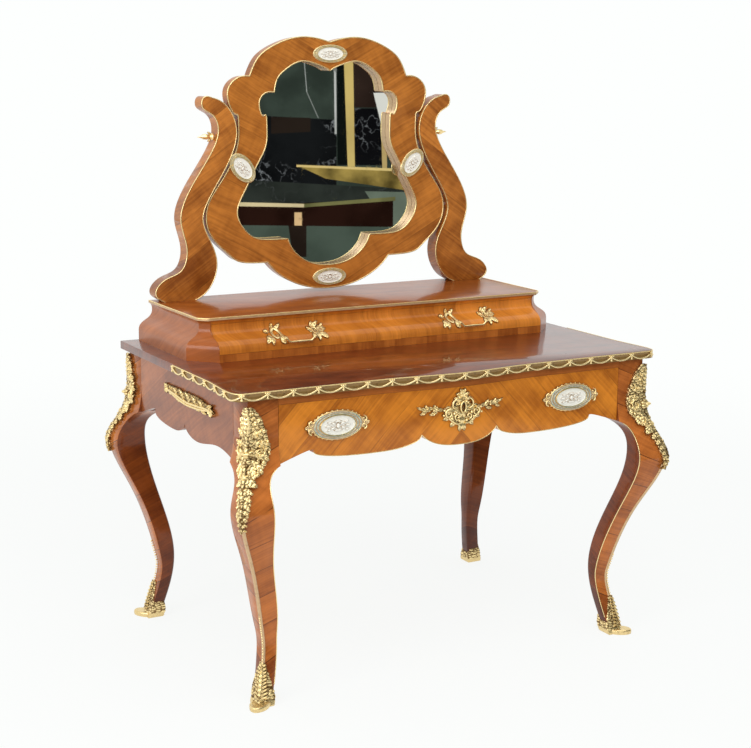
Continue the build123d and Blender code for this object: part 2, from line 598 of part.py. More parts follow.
def make_handle_plate(body, right):
    """Leaf plate that hugs the ogee front, with the post that carries one end of the bail."""
    skin = Pos(0, -LEAF_THICKNESS, 0) * body - body
    leaf = one_solid(skin & front_view(leaf_outline(), -FAR / 2, FAR / 2))
    axis_y, axis_z = -BAIL_AXIS[0], BAIL_AXIS[1]
    x_range = (BAIL_HALF_WIDTH - 1, BAIL_HALF_WIDTH - 1 + POST_WIDTH)
    post = block(x_range, (axis_y, 0), (axis_z - POST_RADIUS, axis_z + POST_RADIUS))
    post = post + rod_x(*x_range, axis_y, axis_z, POST_RADIUS)
    bore = rod_x(x_range[0] - 1, x_range[0] + BAIL_PIN, axis_y, axis_z, BAIL_ROD + PIN_FIT)
    plate = one_solid(leaf + (post - body) - bore)
    return plate if right else flip_x(plate)


def make_bail():
    """Slender bar bent down between its two pins."""
    axis_y, axis_z = -BAIL_AXIS[0], BAIL_AXIS[1]
    shoulder = BAIL_HALF_WIDTH - 1 - SLIDE_GAP - BAIL_ROD
    corner = 0.8 * BAIL_DROP
    path = FilletPolyline((BAIL_HALF_WIDTH - 1 + BAIL_PIN - SLIDE_GAP, 0), (shoulder, 0),
                          (shoulder - corner, -BAIL_DROP), (corner - shoulder, -BAIL_DROP), (-shoulder, 0),
                          (1 - BAIL_HALF_WIDTH - BAIL_PIN + SLIDE_GAP, 0), radius=2 * BAIL_ROD)
    path = Plane((0, axis_y, axis_z), x_dir=(1, 0, 0), z_dir=(0, -1, 0)) * path
    section = Plane(path @ 0, z_dir=path % 0) * Circle(BAIL_ROD)
    return sweep(section, path)


# ---- Toilet mirror --------------------------------------------------------------------------
def symmetric_face(right_edges):
    """Closed face from the right half of its outline, drawn from the top down around the pivots."""
    face = make_face(right_edges + [edge.mirror(Plane.YZ) for edge in right_edges])
    return Pos(0, PIVOT_HEIGHT) * face


def frame_outline():
    crown = Spline((0, 236), (34, 245), (92, 248), (178, 218), (229, 150), tangents=[(1, 0.35), (0.35, -1)])
    shoulder = Spline((229, 150), (268, 143), (290, 112), (270, 56), (260, 12), tangents=[(1, 0.15), (0, -1)])
    flank = Spline((260, 12), (273, -50), (312, -116), (347, -172), (343, -242), (290, -299), (180, -325),
                   tangents=[(0, -1), (-1, 0)])
    chin = Spline((180, -325), (122, -374), (0, -403), tangents=[(-0.7, -1), (-1, 0)])
    return symmetric_face([crown, shoulder, flank, chin])


def sight_outline(grow=0.0):
    """Opening of the frame, or its rebate when grown outwards."""
    part = 0.7 * grow
    notch, waist, low_notch = (160 + grow, 110 + grow), (181 + grow, 0), (122 + grow, -267 - grow)
    crown = Spline((0, 164 + grow), (38, 181 + grow), (84, 188 + grow), (134 + part, 163 + part), notch,
                   tangents=[(1, 0.75), (0.1, -1)])
    ear = Spline(notch, (188 + part, 107 + part), (202 + grow, 88), (192 + grow, 50), waist,
                 tangents=[(1, 0.2), (0, -1)])
    flank = Spline(waist, (204 + grow, -63), (248 + grow, -144), (266 + grow, -194),
                   (240 + part, -244 - part), low_notch, tangents=[(0, -1), (-1, 0)])
    chin = Spline(low_notch, (92 + part, -312 - part), (0, -342 - grow), tangents=[(-0.3, -1), (-1, 0)])
    return symmetric_face([crown, ear, flank, chin])


def pivot_bore(x_low, x_high):
    return rod_x(x_low, x_high, PIVOT_Y, PIVOT_HEIGHT, SCREW_RADIUS + SCREW_FIT)


def make_mirror_frame(rebate):
    y_back = FRAME_FACE + FRAME_THICKNESS
    ring = front_view(frame_outline() - sight_outline(), FRAME_FACE, y_back)
    ring = ring - front_view(rebate, FRAME_FACE + GLASS_DEPTH, y_back)
    bore = pivot_bore(SCREW_TIP - SCREW_END_GAP, SCREW_SHOULDER)
    return one_solid(ring - bore - flip_x(bore))


def make_glass(rebate):
    return front_view(rebate, FRAME_FACE + GLASS_DEPTH, FRAME_FACE + GLASS_DEPTH + GLASS_THICKNESS)


def make_backboard(rebate):
    return front_view(rebate, FRAME_FACE + GLASS_DEPTH + GLASS_THICKNESS, FRAME_FACE + FRAME_THICKNESS)


def make_standard():
    """S-curved standard: scrolled head, hollow for the frame's shoulder, spreading foot."""
    head = (334, 97)
    inner = Spline((388, -PIVOT_LIFT), (342, -372), (327, -314), (346, -258), (364, -202), (350, -160),
                   (316, -104), (282, -42), (269, 12), (288, 68), head)
    outer = Spline(head, (362, 92), (362, 76), (335, 56), (319, 14), (334, -30), (404, -140), (424, -204),
                   (408, -285), (426, -334), (470, -354), (494, -382), (470, -PIVOT_LIFT))
    face = Pos(0, PIVOT_HEIGHT) * make_face([inner, outer, Line(outer @ 1, inner @ 0)])
    body = front_view(face, PIVOT_Y - STANDARD_THICKNESS / 2, PIVOT_Y + STANDARD_THICKNESS / 2)
    return body - pivot_bore(SCREW_TIP, SCREW_SHOULDER)


def make_pivot_screw():
    """Shaft through the standard into the frame, with a pointed bud finial and two wings."""
    shaft = rod_x(SCREW_TIP, SCREW_SHOULDER, PIVOT_Y, PIVOT_HEIGHT, SCREW_RADIUS)
    length, radius = FINIAL_LENGTH, FINIAL_RADIUS
    profile = [(0, 0), (0, 1.2 * radius), (0.1 * length, 1.2 * radius), (0.2 * length, 0.5 * radius),
               (0.45 * length, radius), (0.7 * length, 0.55 * radius), (length, 0.4), (length, 0)]
    bud = revolve(make_face(Polyline(profile, close=True)), Axis.X)
    wing = Pos(0.42 * length, 0, 0) * Box(0.36 * length, 2.5, 3.4 * radius)
    wing = fillet(wing.edges().filter_by(Axis.Y), 0.12 * length)
    return shaft + Pos(SCREW_SHOULDER, PIVOT_Y, PIVOT_HEIGHT) * (bud + wing)


def make_medal(middle, radii, tilt=0.0):
    face = Pos(middle[0], PIVOT_HEIGHT + middle[1]) * Rot(0, 0, tilt) * Ellipse(*radii)
    medal = front_view(face, FRAME_FACE - MEDAL_THICKNESS, FRAME_FACE)
    return fillet(medal.edges().group_by(Axis.Y)[0], MEDAL_THICKNESS / 3)


# ---- All nodes ------------------------------------------------------------------------------
def both_sides(name, shape):
    return {f"{name}_right": shape, f"{name}_left": flip_x(shape)}


def table_nodes():
    nodes = {"table_top": make_table_top(), "top_edge_moulding": make_rim(),
             "apron_back": make_back_apron(), "front_top_rail": make_front_rail()}
    for place, front in (("front", True), ("back", False)):
        leg = make_leg(front)
        nodes.update(both_sides(f"leg_{place}", leg))
        nodes.update(both_sides(f"chute_{place}", make_chute(front, leg)))
        nodes.update(both_sides(f"sabot_{place}", make_sabot(front, leg)))
    nodes.update(both_sides("apron", make_side_apron()))
    nodes.update(both_sides("drawer_runner", make_runner()))
    nodes.update(both_sides("side_mount", make_side_mount()))
    return nodes


def drawer_nodes():
    nodes = {"drawer_front": make_drawer_front(), "drawer_back": make_drawer_back(),
             "drawer_bottom": make_drawer_bottom(), "drawer_lock": make_lock(),
             "drawer_escutcheon": make_escutcheon()}
    nodes.update(both_sides("drawer_side", make_drawer_side()))
    nodes.update(both_sides("medallion_frame", make_medallion_frame()))
    nodes.update(both_sides("medallion_plaque", make_medallion_plaque()))
    return nodes


def case_nodes():
    body = make_case_body()
    nodes = {"case_board": make_case_board(), "case_back": make_case_back(), "case_plinth": make_plinth(body),
             "case_floor": make_case_floor(), "case_rail": make_case_rail(body), "case_divider": make_divider(body)}
    nodes.update(both_sides("case_end", make_case_end(body)))
    nodes.update(both_sides("small_drawer_front", make_small_front(body)))
    nodes.update(both_sides("small_drawer_tray", make_small_tray()))
    for side, sign in (("right", 1), ("left", -1)):
        place = Pos(sign * HANDLE_X, 0, 0)
        nodes[f"handle_plate_{side}"] = Compound([place * make_handle_plate(body, True),
                                                  place * make_handle_plate(body, False)])
        nodes[f"bail_{side}"] = place * make_bail()
    return nodes


def mirror_nodes():
    rebate = sight_outline(REBATE)
    nodes = {"mirror_frame": make_mirror_frame(rebate), "mirror_glass": make_glass(rebate),
             "mirror_backboard": make_backboard(rebate), "medal_top": make_medal(TOP_MEDAL, FLAT_MEDAL_RADII),
             "medal_bottom": make_medal(LOW_MEDAL, FLAT_MEDAL_RADII)}
    nodes.update(both_sides("medal", make_medal(SIDE_MEDAL, TILTED_MEDAL_RADII, MEDAL_TILT)))
    nodes.update(both_sides("standard", make_standard()))
    nodes.update(both_sides("pivot_screw", make_pivot_screw()))
    return nodes


def main():
    os.makedirs("parts", exist_ok=True)
    nodes = {**table_nodes(), **drawer_nodes(), **case_nodes(), **mirror_nodes()}
    for name, shape in nodes.items():
        export_step(shape, f"parts/{name}.step")
    print(len(nodes), "nodes written")


main()
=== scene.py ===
"""Dressing table with gilt mounts and a swinging toilet mirror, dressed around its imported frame."""

from __future__ import annotations

import logging
import math
from dataclasses import dataclass, field
from enum import Enum
from typing import Any, Callable, Iterable

import bmesh
import bpy
import numpy as np
from mathutils import Matrix, Vector
from mathutils.bvhtree import BVHTree
from mathutils.kdtree import KDTree

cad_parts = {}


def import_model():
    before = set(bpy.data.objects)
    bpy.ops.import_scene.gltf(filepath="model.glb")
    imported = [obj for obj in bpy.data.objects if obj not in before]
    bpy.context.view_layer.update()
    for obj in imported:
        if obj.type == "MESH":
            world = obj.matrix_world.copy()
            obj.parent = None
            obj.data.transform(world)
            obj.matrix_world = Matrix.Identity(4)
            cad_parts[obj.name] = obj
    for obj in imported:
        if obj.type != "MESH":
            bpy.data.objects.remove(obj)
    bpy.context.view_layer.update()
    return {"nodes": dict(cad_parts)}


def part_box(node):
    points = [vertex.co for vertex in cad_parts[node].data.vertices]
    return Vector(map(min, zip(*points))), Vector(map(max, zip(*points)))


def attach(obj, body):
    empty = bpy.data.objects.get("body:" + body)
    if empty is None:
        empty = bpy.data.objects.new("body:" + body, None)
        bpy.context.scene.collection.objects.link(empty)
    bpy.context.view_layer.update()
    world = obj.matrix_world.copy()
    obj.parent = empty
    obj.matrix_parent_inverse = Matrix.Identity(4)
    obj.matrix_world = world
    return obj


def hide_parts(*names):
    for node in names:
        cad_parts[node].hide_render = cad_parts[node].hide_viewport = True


LOG = logging.getLogger("dressing_table")
MM = 0.001
TURN = 2 * math.pi
WELD = 2e-5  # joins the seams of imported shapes
SHARP = math.radians(30)  # least angle of an edge that a path may follow
BUMP_DEPTH = 0.0004
JOINERY, DRAWN, CARVED, TURNED, CAST = 30, 35, 55, 60, 180  # degrees above which an edge stays crisp
GILT = "gilt_bronze"
Color = tuple[float, float, float, float]
Spot = tuple[float, float]
Place = Callable[[float, float, float], Vector]
Path = tuple[list[Vector], bool]
Faces = list[tuple[int, ...]]
Frond = tuple[float, float, float, float, float]


class Named(Enum):
    """Option that stands in the names of nodes."""

    @property
    def label(self) -> str:
        """Part of the node names."""
        return self.name.lower()


class Side(Named):
    """Right or left half of the object, with the sign of its X."""

    RIGHT = 1
    LEFT = -1


class Row(Named):
    """Front or back pair of legs, with the sign of its Y."""

    FRONT = -1
    BACK = 1


class Shade(Enum):
    """Faces of a veneered piece that get painted shade: darker and plain."""

    NONE = 0
    INNER = 1
    CANTED = 2


# ---- Node trees -----------------------------------------------------------------------------
class Wiring:
    """Adds nodes to a tree and fills or links their inputs."""

    def __init__(self, tree: bpy.types.NodeTree) -> None:
        """Keep the shader or geometry tree that the nodes go into."""
        self.tree = tree

    def add(self, kind: str, inputs: dict[int | str, Any] | None = None, **settings: Any) -> bpy.types.Node:
        """Add one node.

        Args:
            kind: Type name of the node.
            inputs: Value or socket for each input, by index or name.
            settings: Properties of the node itself.

        Returns:
            The new node.
        """
        node = self.tree.nodes.new(kind)
        for key, value in settings.items():
            setattr(node, key, value)
        self.fill(node.inputs, inputs or {})
        return node

    def fill(self, sockets: Any, values: dict[int | str, Any]) -> None:
        """Link inputs to other sockets, or set their values.

        Args:
            sockets: Inputs of a node.
            values: Value or output socket for each, by index or name.
        """
        for key, value in values.items():
            if isinstance(value, bpy.types.NodeSocket):
                self.tree.links.new(value, sockets[key])
            else:
                sockets[key].default_value = value

    def out(self, kind: str, inputs: dict[int | str, Any] | None = None, **settings: Any) -> Any:
        """First output of a new node."""
        return self.add(kind, inputs, **settings).outputs[0]

    def math(self, operation: str, first: Any, second: Any = 0.0, third: Any = 0.0) -> Any:
        """Result of a Math node."""
        return self.out("ShaderNodeMath", {0: first, 1: second, 2: third}, operation=operation)

    def clamp(self, value: Any, low: float, high: float, start: float = 0.0, end: float = 1.0) -> Any:
        """Smooth map of the range from low to high onto start to end, clamped."""
        inputs = {0: value, 1: low, 2: high, 3: start, 4: end}
        return self.out("ShaderNodeMapRange", inputs, interpolation_type="SMOOTHSTEP")

    def dot(self, first: Any, second: Any) -> Any:
        """Scalar product of two vectors."""
        return self.add("ShaderNodeVectorMath", {0: first, 1: second}, operation="DOT_PRODUCT").outputs["Value"]

    def vector(self, x: Any, y: Any, z: Any) -> Any:
        """Vector from three numbers."""
        return self.out("ShaderNodeCombineXYZ", {0: x, 1: y, 2: z})

    def split(self, vector: Any) -> Any:
        """The three numbers of a vector."""
        return self.add("ShaderNodeSeparateXYZ", {0: vector}).outputs

    def times(self, first: Any, second: Any) -> Any:
        """Product of two numbers."""
        return self.math("MULTIPLY", first, second)

    def centred(self, value: Any) -> Any:
        """Number less a half."""
        return self.math("SUBTRACT", value, 0.5)

    def noise(self, vector: Any, scale: float = 1.0, detail: float = 2.0) -> Any:
        """Noise value between 0 and 1 at a vector."""
        return self.out("ShaderNodeTexNoise", {"Vector": vector, "Scale": scale, "Detail": detail})

    def blend(self, factor: Any, first: Any, second: Any, mode: str = "MIX") -> Any:
        """Mix of two colours, where the factor is the share of the second."""
        settings = {"data_type": "RGBA", "blend_type": mode, "clamp_factor": True}
        return self.add("ShaderNodeMix", {0: factor, 6: first, 7: second}, **settings).outputs[2]

    def bump(self, strength: float, height: Any) -> Any:
        """Normal of a fine bump."""
        return self.out("ShaderNodeBump", {"Strength": strength, "Distance": BUMP_DEPTH, "Height": height})

    def attribute(self, name: str) -> Any:
        """Number that each vertex carries."""
        return self.add("ShaderNodeAttribute", attribute_name=name).outputs["Fac"]

    def group(self, tree: bpy.types.NodeTree, inputs: dict[str, Any]) -> Any:
        """Outputs of a shared group with its inputs filled."""
        return self.add("ShaderNodeGroup", inputs, node_tree=tree).outputs


def start_group(name: str, kind: str, inputs: dict[str, Any], outputs: dict[str, str]) -> tuple[Wiring, Any, Any]:
    """Start a node group with named sockets.

    Args:
        name: Name of the group.
        kind: Type of its tree.
        inputs: Default of each input, or the name of its socket type if it has no default.
        outputs: Name of each output's socket type.

    Returns:
        The wiring, the sockets that bring the inputs in and those that take the outputs.
    """
    tree = bpy.data.node_groups.new(name, kind)
    kinds = {float: "Float", int: "Int"}
    for label, default in inputs.items():
        plain = default if isinstance(default, str) else kinds.get(type(default))
        plain = plain or ("Vector" if len(default) == 3 else "Color")
        socket = tree.interface.new_socket(label, in_out="INPUT", socket_type=f"NodeSocket{plain}")
        if not isinstance(default, str):
            socket.default_value = default
    for label, plain in outputs.items():
        tree.interface.new_socket(label, in_out="OUTPUT", socket_type=f"NodeSocket{plain}")
    wiring = Wiring(tree)
    return wiring, wiring.add("NodeGroupInput").outputs, wiring.add("NodeGroupOutput").inputs


def cleared(owner: bpy.types.Material | bpy.types.World) -> Wiring:
    """Empty a material or a world.

    Args:
        owner: What has the nodes.

    Returns:
        The wiring of its tree.
    """
    owner.use_nodes = True
    owner.node_tree.nodes.clear()
    return Wiring(owner.node_tree)


def glow_material(name: str) -> tuple[bpy.types.Material, Wiring, Any]:
    """Start a material without a shader.

    Args:
        name: Name of the material.

    Returns:
        The material, its wiring and the Object coordinates.
    """
    material = bpy.data.materials.new(name)
    w = cleared(material)
    return material, w, w.add("ShaderNodeTexCoord").outputs["Object"]


def shaded_material(name: str) -> tuple[bpy.types.Material, Wiring, Any, Any]:
    """Start a material around one Principled shader.

    Args:
        name: Name of the material.

    Returns:
        The material, its wiring, the shader's inputs and the Object coordinates.
    """
    material, w, position = glow_material(name)
    shader = w.add("ShaderNodeBsdfPrincipled")
    w.add("ShaderNodeOutputMaterial", {"Surface": shader.outputs[0]})
    return material, w, shader.inputs, position


def srgb(*values: int) -> Color:
    """Linear colour from screen values between 0 and 255."""
    parts = [v / 255 / 12.92 if v <= 10 else ((v / 255 + 0.055) / 1.055) ** 2.4 for v in values]
    return parts[0], parts[1], parts[2], 1.0


class Effects:
    """Shader node groups that several finishes share, built once."""

    def __init__(self) -> None:
        """Build every group."""
        self.veneer, self.gilding, self.haze = self.build_veneer(), self.build_gilding(), self.build_haze()

    @staticmethod
    def build_veneer() -> bpy.types.NodeTree:
        """Cut veneer: leaves side by side, with fibres, streaks and cloudy figure.

        Returns:
            The group. Across and Along are directions on the surface, and Fold mirrors about X and Y.
        """
        w, given, result = start_group("Veneer", "ShaderNodeTree", {
            "Position": (0, 0, 0), "Across": (0, 0, 1), "Along": (1, 0, 0), "Fold": 0.0, "Leaf Width": 0.1,
            "Light": (0.5, 0.2, 0.05, 1), "Dark": (0.2, 0.06, 0.02, 1), "Tone": 0.25, "Seam": 0.8, "Figure": 0.2,
        }, {"Color": "Color", "Height": "Float"})
        here, width = given["Position"], given["Leaf Width"]
        mirrored = w.out("ShaderNodeVectorMath", {0: here}, operation="ABSOLUTE")
        place = w.add("ShaderNodeMix", {0: given["Fold"], 4: here, 5: mirrored}, data_type="VECTOR").outputs[1]
        across, along = w.dot(place, given["Across"]), w.dot(place, given["Along"])
        third = w.dot(here, (1.7, 1.1, 0.6))

        def grain(first: Any, fine: float, second: Any, coarse: float, depth: Any, detail: float = 2.0) -> Any:
            """Noise drawn out along two directions."""
            return w.noise(w.vector(w.times(first, fine), w.times(second, coarse), depth), detail=detail)

        sway = grain(across, 7, along, 5, w.times(third, 0.6))
        bent = w.math("MULTIPLY_ADD", w.centred(sway), 0.022, across)
        leaf = w.math("DIVIDE", across, width)
        index = w.math("FLOOR", leaf)
        tone = w.out("ShaderNodeTexWhiteNoise", {"W": index}, noise_dimensions="1D")
        shift = w.times(index, 3.71)
        drift = w.math("ADD", shift, third)
        fibre, streak = grain(bent, 1300, along, 26, shift, 3), grain(bent, 190, along, 4, drift, 3)
        cloud, ripple = grain(bent, 26, along, 11, drift), grain(along, 75, across, 11, shift, 1)
        total: Any = 0.5
        for value, weight in ((fibre, 0.26), (streak, 0.44), (cloud, 0.62), (ripple, given["Figure"]),
                              (tone, given["Tone"])):
            total = w.math("ADD", total, w.times(w.centred(value), weight))
        wood = w.blend(w.clamp(total, 0.16, 0.84), given["Dark"], given["Light"])
        part = w.math("FRACT", leaf)
        near = w.times(w.math("MINIMUM", part, w.math("SUBTRACT", 1.0, part)), width)
        line = w.times(w.clamp(near, 0.0003, 0.0011, 1.0, 0.0), given["Seam"])
        line = w.times(line, w.clamp(grain(along, 20, across, 9, third), 0.3, 0.5, 0.25, 1.0))
        height = w.math("SUBTRACT", w.math("MULTIPLY_ADD", fibre, 0.5, streak), line)
        w.fill(result, {"Color": w.blend(line, wood, (0.03, 0.008, 0.003, 1)), "Height": height})
        return w.tree

    @staticmethod
    def build_gilding() -> bpy.types.NodeTree:
        """Chased gilt bronze: bright on the relief, dark and dull in the recesses, where the dark is patina and painted
        shade.

        Returns:
            The group. Relief is 1 on high spots and 0 in recesses.
        """
        w, given, result = start_group("Gilding", "ShaderNodeTree", {
            "Position": (0, 0, 0), "Relief": 1.0, "Bright": (0.9, 0.6, 0.2, 1), "Recess": (0.1, 0.05, 0.01, 1),
            "Wear": 0.3}, {"Color": "Color", "Roughness": "Float", "Height": "Float"})
        fine, patch = w.noise(given["Position"], 900), w.noise(given["Position"], 120, 3)
        high = w.clamp(w.math("ADD", given["Relief"], w.times(w.centred(patch), 0.35)), 0.22, 0.74)
        # the low spots take the hollow colour: patina and painted shade
        base = w.blend(high, given["Recess"], given["Bright"])
        tarnish = w.times(w.clamp(patch, 0.5, 0.75), given["Wear"])
        rough = w.math("MULTIPLY_ADD", fine, 0.1, w.math("MULTIPLY_ADD", high, -0.16, 0.36))
        w.fill(result, {"Color": w.blend(tarnish, base, given["Recess"]), "Roughness": rough,
                        "Height": w.math("MULTIPLY_ADD", patch, 2.0, fine)})
        return w.tree

    @staticmethod
    def build_haze() -> bpy.types.NodeTree:
        """Hand-rubbed polish with slow changes of gloss.

        Returns:
            The group.
        """
        w, given, result = start_group("Hand Polish", "ShaderNodeTree", {
            "Position": (0, 0, 0), "Gloss": 0.1, "Spread": 0.06}, {"Roughness": "Float"})
        broad = w.centred(w.noise(given["Position"], 9, 3))
        w.fill(result, {"Roughness": w.math("MULTIPLY_ADD", broad, given["Spread"], given["Gloss"])})
        return w.tree


@dataclass(frozen=True)
class Veneer:
    """Polished veneer whose leaves lie in one direction."""

    name: str
    across: tuple[float, float, float]
    along: tuple[float, float, float]
    light: Color
    dark: Color
    leaf_width: float = 0.3
    fold: float = 0.0
    tone: float = 0.25
    seam: float = 0.4
    figure: float = 0.2
    gloss: float = 0.08
    coat: float = 0.45
    shade: Shade = Shade.NONE
    deep: Color = (0.40, 0.30, 0.26, 1.0)

    def build(self, effects: Effects) -> bpy.types.Material:
        """Build the material.

        Args:
            effects: Shared node groups.

        Returns:
            The material.
        """
        material, w, shader, position = shaded_material(self.name)
        mask, seam = self.darkened(w, position), self.seam
        if mask is not None:
            seam = w.math("MULTIPLY_ADD", mask, -self.seam, self.seam)
        wood = w.group(effects.veneer, {
            "Position": position, "Across": self.across, "Along": self.along, "Fold": self.fold,
            "Leaf Width": self.leaf_width, "Light": self.light, "Dark": self.dark, "Tone": self.tone, "Seam": seam,
            "Figure": self.figure})
        polish = w.group(effects.haze, {"Position": position, "Gloss": 0.3, "Spread": 0.1})
        # painted shade: the picked faces are multiplied by a darker tint
        color = wood["Color"] if mask is None else w.blend(mask, wood["Color"], self.deep, "MULTIPLY")
        w.fill(shader, {"Base Color": color, "Roughness": polish["Roughness"], "Normal": w.bump(0.12, wood["Height"]),
                        "Coat Weight": self.coat, "Coat Roughness": self.gloss, "Coat IOR": 1.55,
                        "Specular IOR Level": 0.1})
        return material

    def darkened(self, w: Wiring, position: Any) -> Any:
        """Mask of the faces that get painted shade, picked by the shade option from where they look.

        Args:
            w: Wiring of the material.
            position: Object coordinates.

        Returns:
            The mask, 1 on the picked faces, or None if the option picks none.
        """
        if self.shade is Shade.NONE:
            return None
        look, spot = w.split(w.add("ShaderNodeTexCoord").outputs["Normal"]), w.split(position)
        x = w.times(look[0], w.math("SIGN", spot[0]))
        if self.shade is Shade.CANTED:
            return w.clamp(w.math("MINIMUM", x, w.times(look[1], -1.0)), 0.35, 0.55)
        return w.clamp(w.math("MINIMUM", x, w.times(look[1], w.math("SIGN", spot[1]))), -0.3, -0.7)


@dataclass(frozen=True)
class Gilding:
    """Gilt bronze, cast and chased or drawn plain."""

    name: str
    bright: Color = (1.0, 0.78, 0.38, 1.0)
    # colour of the hollows: patina, and painted shade as well
    recess: Color = (0.17, 0.08, 0.018, 1.0)
    chased: bool = False
    wear: float = 0.15
    metal: float = 0.8

    def build(self, effects: Effects) -> bpy.types.Material:
        """Build the material.

        Args:
            effects: Shared node groups.

        Returns:
            The material.
        """
        material, w, shader, position = shaded_material(self.name)
        # on chased pieces the relief attribute darkens the low spots: patina and painted shade
        relief: Any = w.attribute("relief") if self.chased else 0.8
        metal = w.group(effects.gilding, {"Position": position, "Relief": relief, "Bright": self.bright,
                                          "Recess": self.recess, "Wear": self.wear})
        w.fill(shader, {"Base Color": metal["Color"], "Roughness": metal["Roughness"],
                        "Normal": w.bump(0.25, metal["Height"]), "Metallic": self.metal})
        return material


@dataclass(frozen=True)
class Porcelain:
    """Biscuit relief on a tinted ground, told apart by the motif attribute."""

    name: str
    ground: Color
    ring: Color
    fleck: Color = (0.62, 0.60, 0.40, 1.0)
    white: Color = (0.90, 0.88, 0.80, 1.0)
    stroke: Color = (0.30, 0.17, 0.05, 1.0)

    def build(self, effects: Effects) -> bpy.types.Material:
        """Build the material.

        Args:
            effects: Shared node groups, for the slow change of gloss.

        Returns:
            The material.
        """
        material, w, shader, position = shaded_material(self.name)
        polish = w.group(effects.haze, {"Position": position, "Gloss": 0.32})
        ground = w.blend(w.clamp(w.noise(position, 420, 3), 0.42, 0.62), self.ring, self.ground)
        flecked = w.blend(w.clamp(w.noise(position, 160, 4), 0.54, 0.62), ground, self.fleck)
        body = w.blend(w.clamp(w.attribute("motif"), 0.35, 0.65), flecked, self.white)
        # brown strokes on the slopes of the motif, and painted shade in the hollows between the rings
        shade = w.clamp(w.attribute("relief"), 0.0, 0.5, 0.85, 0.0)
        w.fill(shader, {"Base Color": w.blend(shade, body, self.stroke),
                        "Roughness": polish["Roughness"], "Coat Weight": 0.3, "Coat Roughness": 0.15})
        return material


class Finishes(dict[str, bpy.types.Material]):
    """Every material of the object, by its name."""

    def __init__(self) -> None:
        """Build the shared effects and all materials."""
        effects = Effects()
        finishes = (
            Veneer("veneer_top", (0.05, 1, 0.4), (1, -0.05, 0), srgb(136, 64, 26), srgb(76, 28, 8), 0.36,
                   tone=0.1, seam=0.25, figure=0.1, gloss=0.05, coat=0.5),
            Veneer("veneer_drawer", (0.72, 0.1, 0.69), (0.69, 0.05, -0.72), srgb(216, 132, 38),
                   srgb(142, 72, 14), 0.075, 1.0, tone=0.34),
            Veneer("veneer_rail", (0, 0.2, 1), (1, 0, 0), srgb(172, 96, 38), srgb(124, 62, 20), seam=0.0),
            Veneer("veneer_side", (0.1, 0.5, 0.86), (0.1, 0.86, -0.5), srgb(182, 106, 56), srgb(124, 64, 30),
                   seam=0.2, gloss=0.22, coat=0.65),
            # the legs' inner faces get painted shade
            Veneer("veneer_leg", (0.36, 0.36, 0.86), (0.75, 0.75, -0.5), srgb(200, 116, 50), srgb(126, 62, 22),
                   0.075, 1.0, tone=0.4, seam=0.9, gloss=0.12, shade=Shade.INNER),
            Veneer("veneer_frame", (-0.45, 0.2, 0.86), (0.86, 0.2, 0.45), srgb(202, 126, 50),
                   srgb(126, 68, 22), 0.13, 1.0, tone=0.16, gloss=0.1),
            Veneer("veneer_standard", (0.55, 0.2, 0.8), (0.8, 0.2, -0.55), srgb(202, 126, 52),
                   srgb(122, 64, 22), 0.08, 1.0, tone=0.18, seam=0.5, gloss=0.12),
            Veneer("veneer_case", (1, 0.45, 0.05), (0.05, 0.3, 1), srgb(226, 140, 52), srgb(172, 98, 32),
                   0.137, seam=0.3, figure=0.1),
            # the canted corners of the case ends get painted shade, a darker and warmer tint
            Veneer("veneer_end", (0.1, 0.55, 0.75), (0.1, 0.7, -0.6), srgb(184, 108, 56), srgb(140, 76, 34),
                   tone=0.1, seam=0.0, figure=0.1, gloss=0.2, shade=Shade.CANTED, deep=(0.94, 0.80, 0.50, 1.0)),
            Veneer("veneer_plinth", (1, 0.8, 0.05), (0.05, 0.3, 1), srgb(192, 112, 46), srgb(140, 72, 26),
                   0.031, seam=0.08),
            Veneer("veneer_board", (0.1, 1, 0.6), (1, 0.1, 0), srgb(176, 98, 40), srgb(126, 62, 22), 0.4,
                   tone=0.1, seam=0.2, figure=0.1, gloss=0.05, coat=0.25),
            Veneer("oak_lining", (0.3, 0.2, 1), (1, 1, 0), srgb(194, 148, 98), srgb(150, 106, 62), 0.2,
                   tone=0.2, seam=0.3, gloss=0.4, coat=0.1),
            Gilding("gilt_cast", chased=True),
            # darker copy of the gilding for the side mounts' backing: painted shade in the gaps between the leaves
            Gilding("gilt_backing", (0.50, 0.32, 0.10, 1.0), (0.10, 0.05, 0.012, 1.0), chased=True),
            Gilding("gilt_drawn"),
            Gilding("gilt_swag", (1.0, 0.80, 0.42, 1.0), wear=0.1),
            # dimmer gilding; on the board's lower reeds it is a painted dark reflection
            Gilding("gilt_worn", (0.66, 0.45, 0.25, 1.0), (0.30, 0.18, 0.08, 1.0), wear=0.4, metal=0.5),
            Gilding("gilt_channel", (0.26, 0.15, 0.045, 1.0), (0.10, 0.05, 0.015, 1.0), wear=0.7, metal=0.25),
            Gilding("lock_iron", (0.05, 0.045, 0.04, 1.0), (0.02, 0.018, 0.016, 1.0)),
            Porcelain("plaque_porcelain", srgb(196, 200, 182), srgb(132, 146, 138)),
            Porcelain("medal_porcelain", srgb(214, 204, 168), srgb(178, 160, 110), (0.72, 0.52, 0.20, 1.0)),
        )
        super().__init__({finish.name: finish.build(effects) for finish in finishes})
        self["silvered_glass"] = self.looking_glass()

    @staticmethod
    def looking_glass() -> bpy.types.Material:
        """Silvered glass with faint waves of tint and patches of roughness.

        Returns:
            The material.
        """
        material, w, shader, position = shaded_material("silvered_glass")
        tint = w.blend(w.noise(position, 6, 3), (0.74, 0.78, 0.76, 1), (0.86, 0.88, 0.86, 1))
        rough = w.clamp(w.noise(position, 40, 4), 0.62, 0.8, 0.012, 0.05)
        w.fill(shader, {"Base Color": tint, "Roughness": rough, "Metallic": 1.0})
        return material


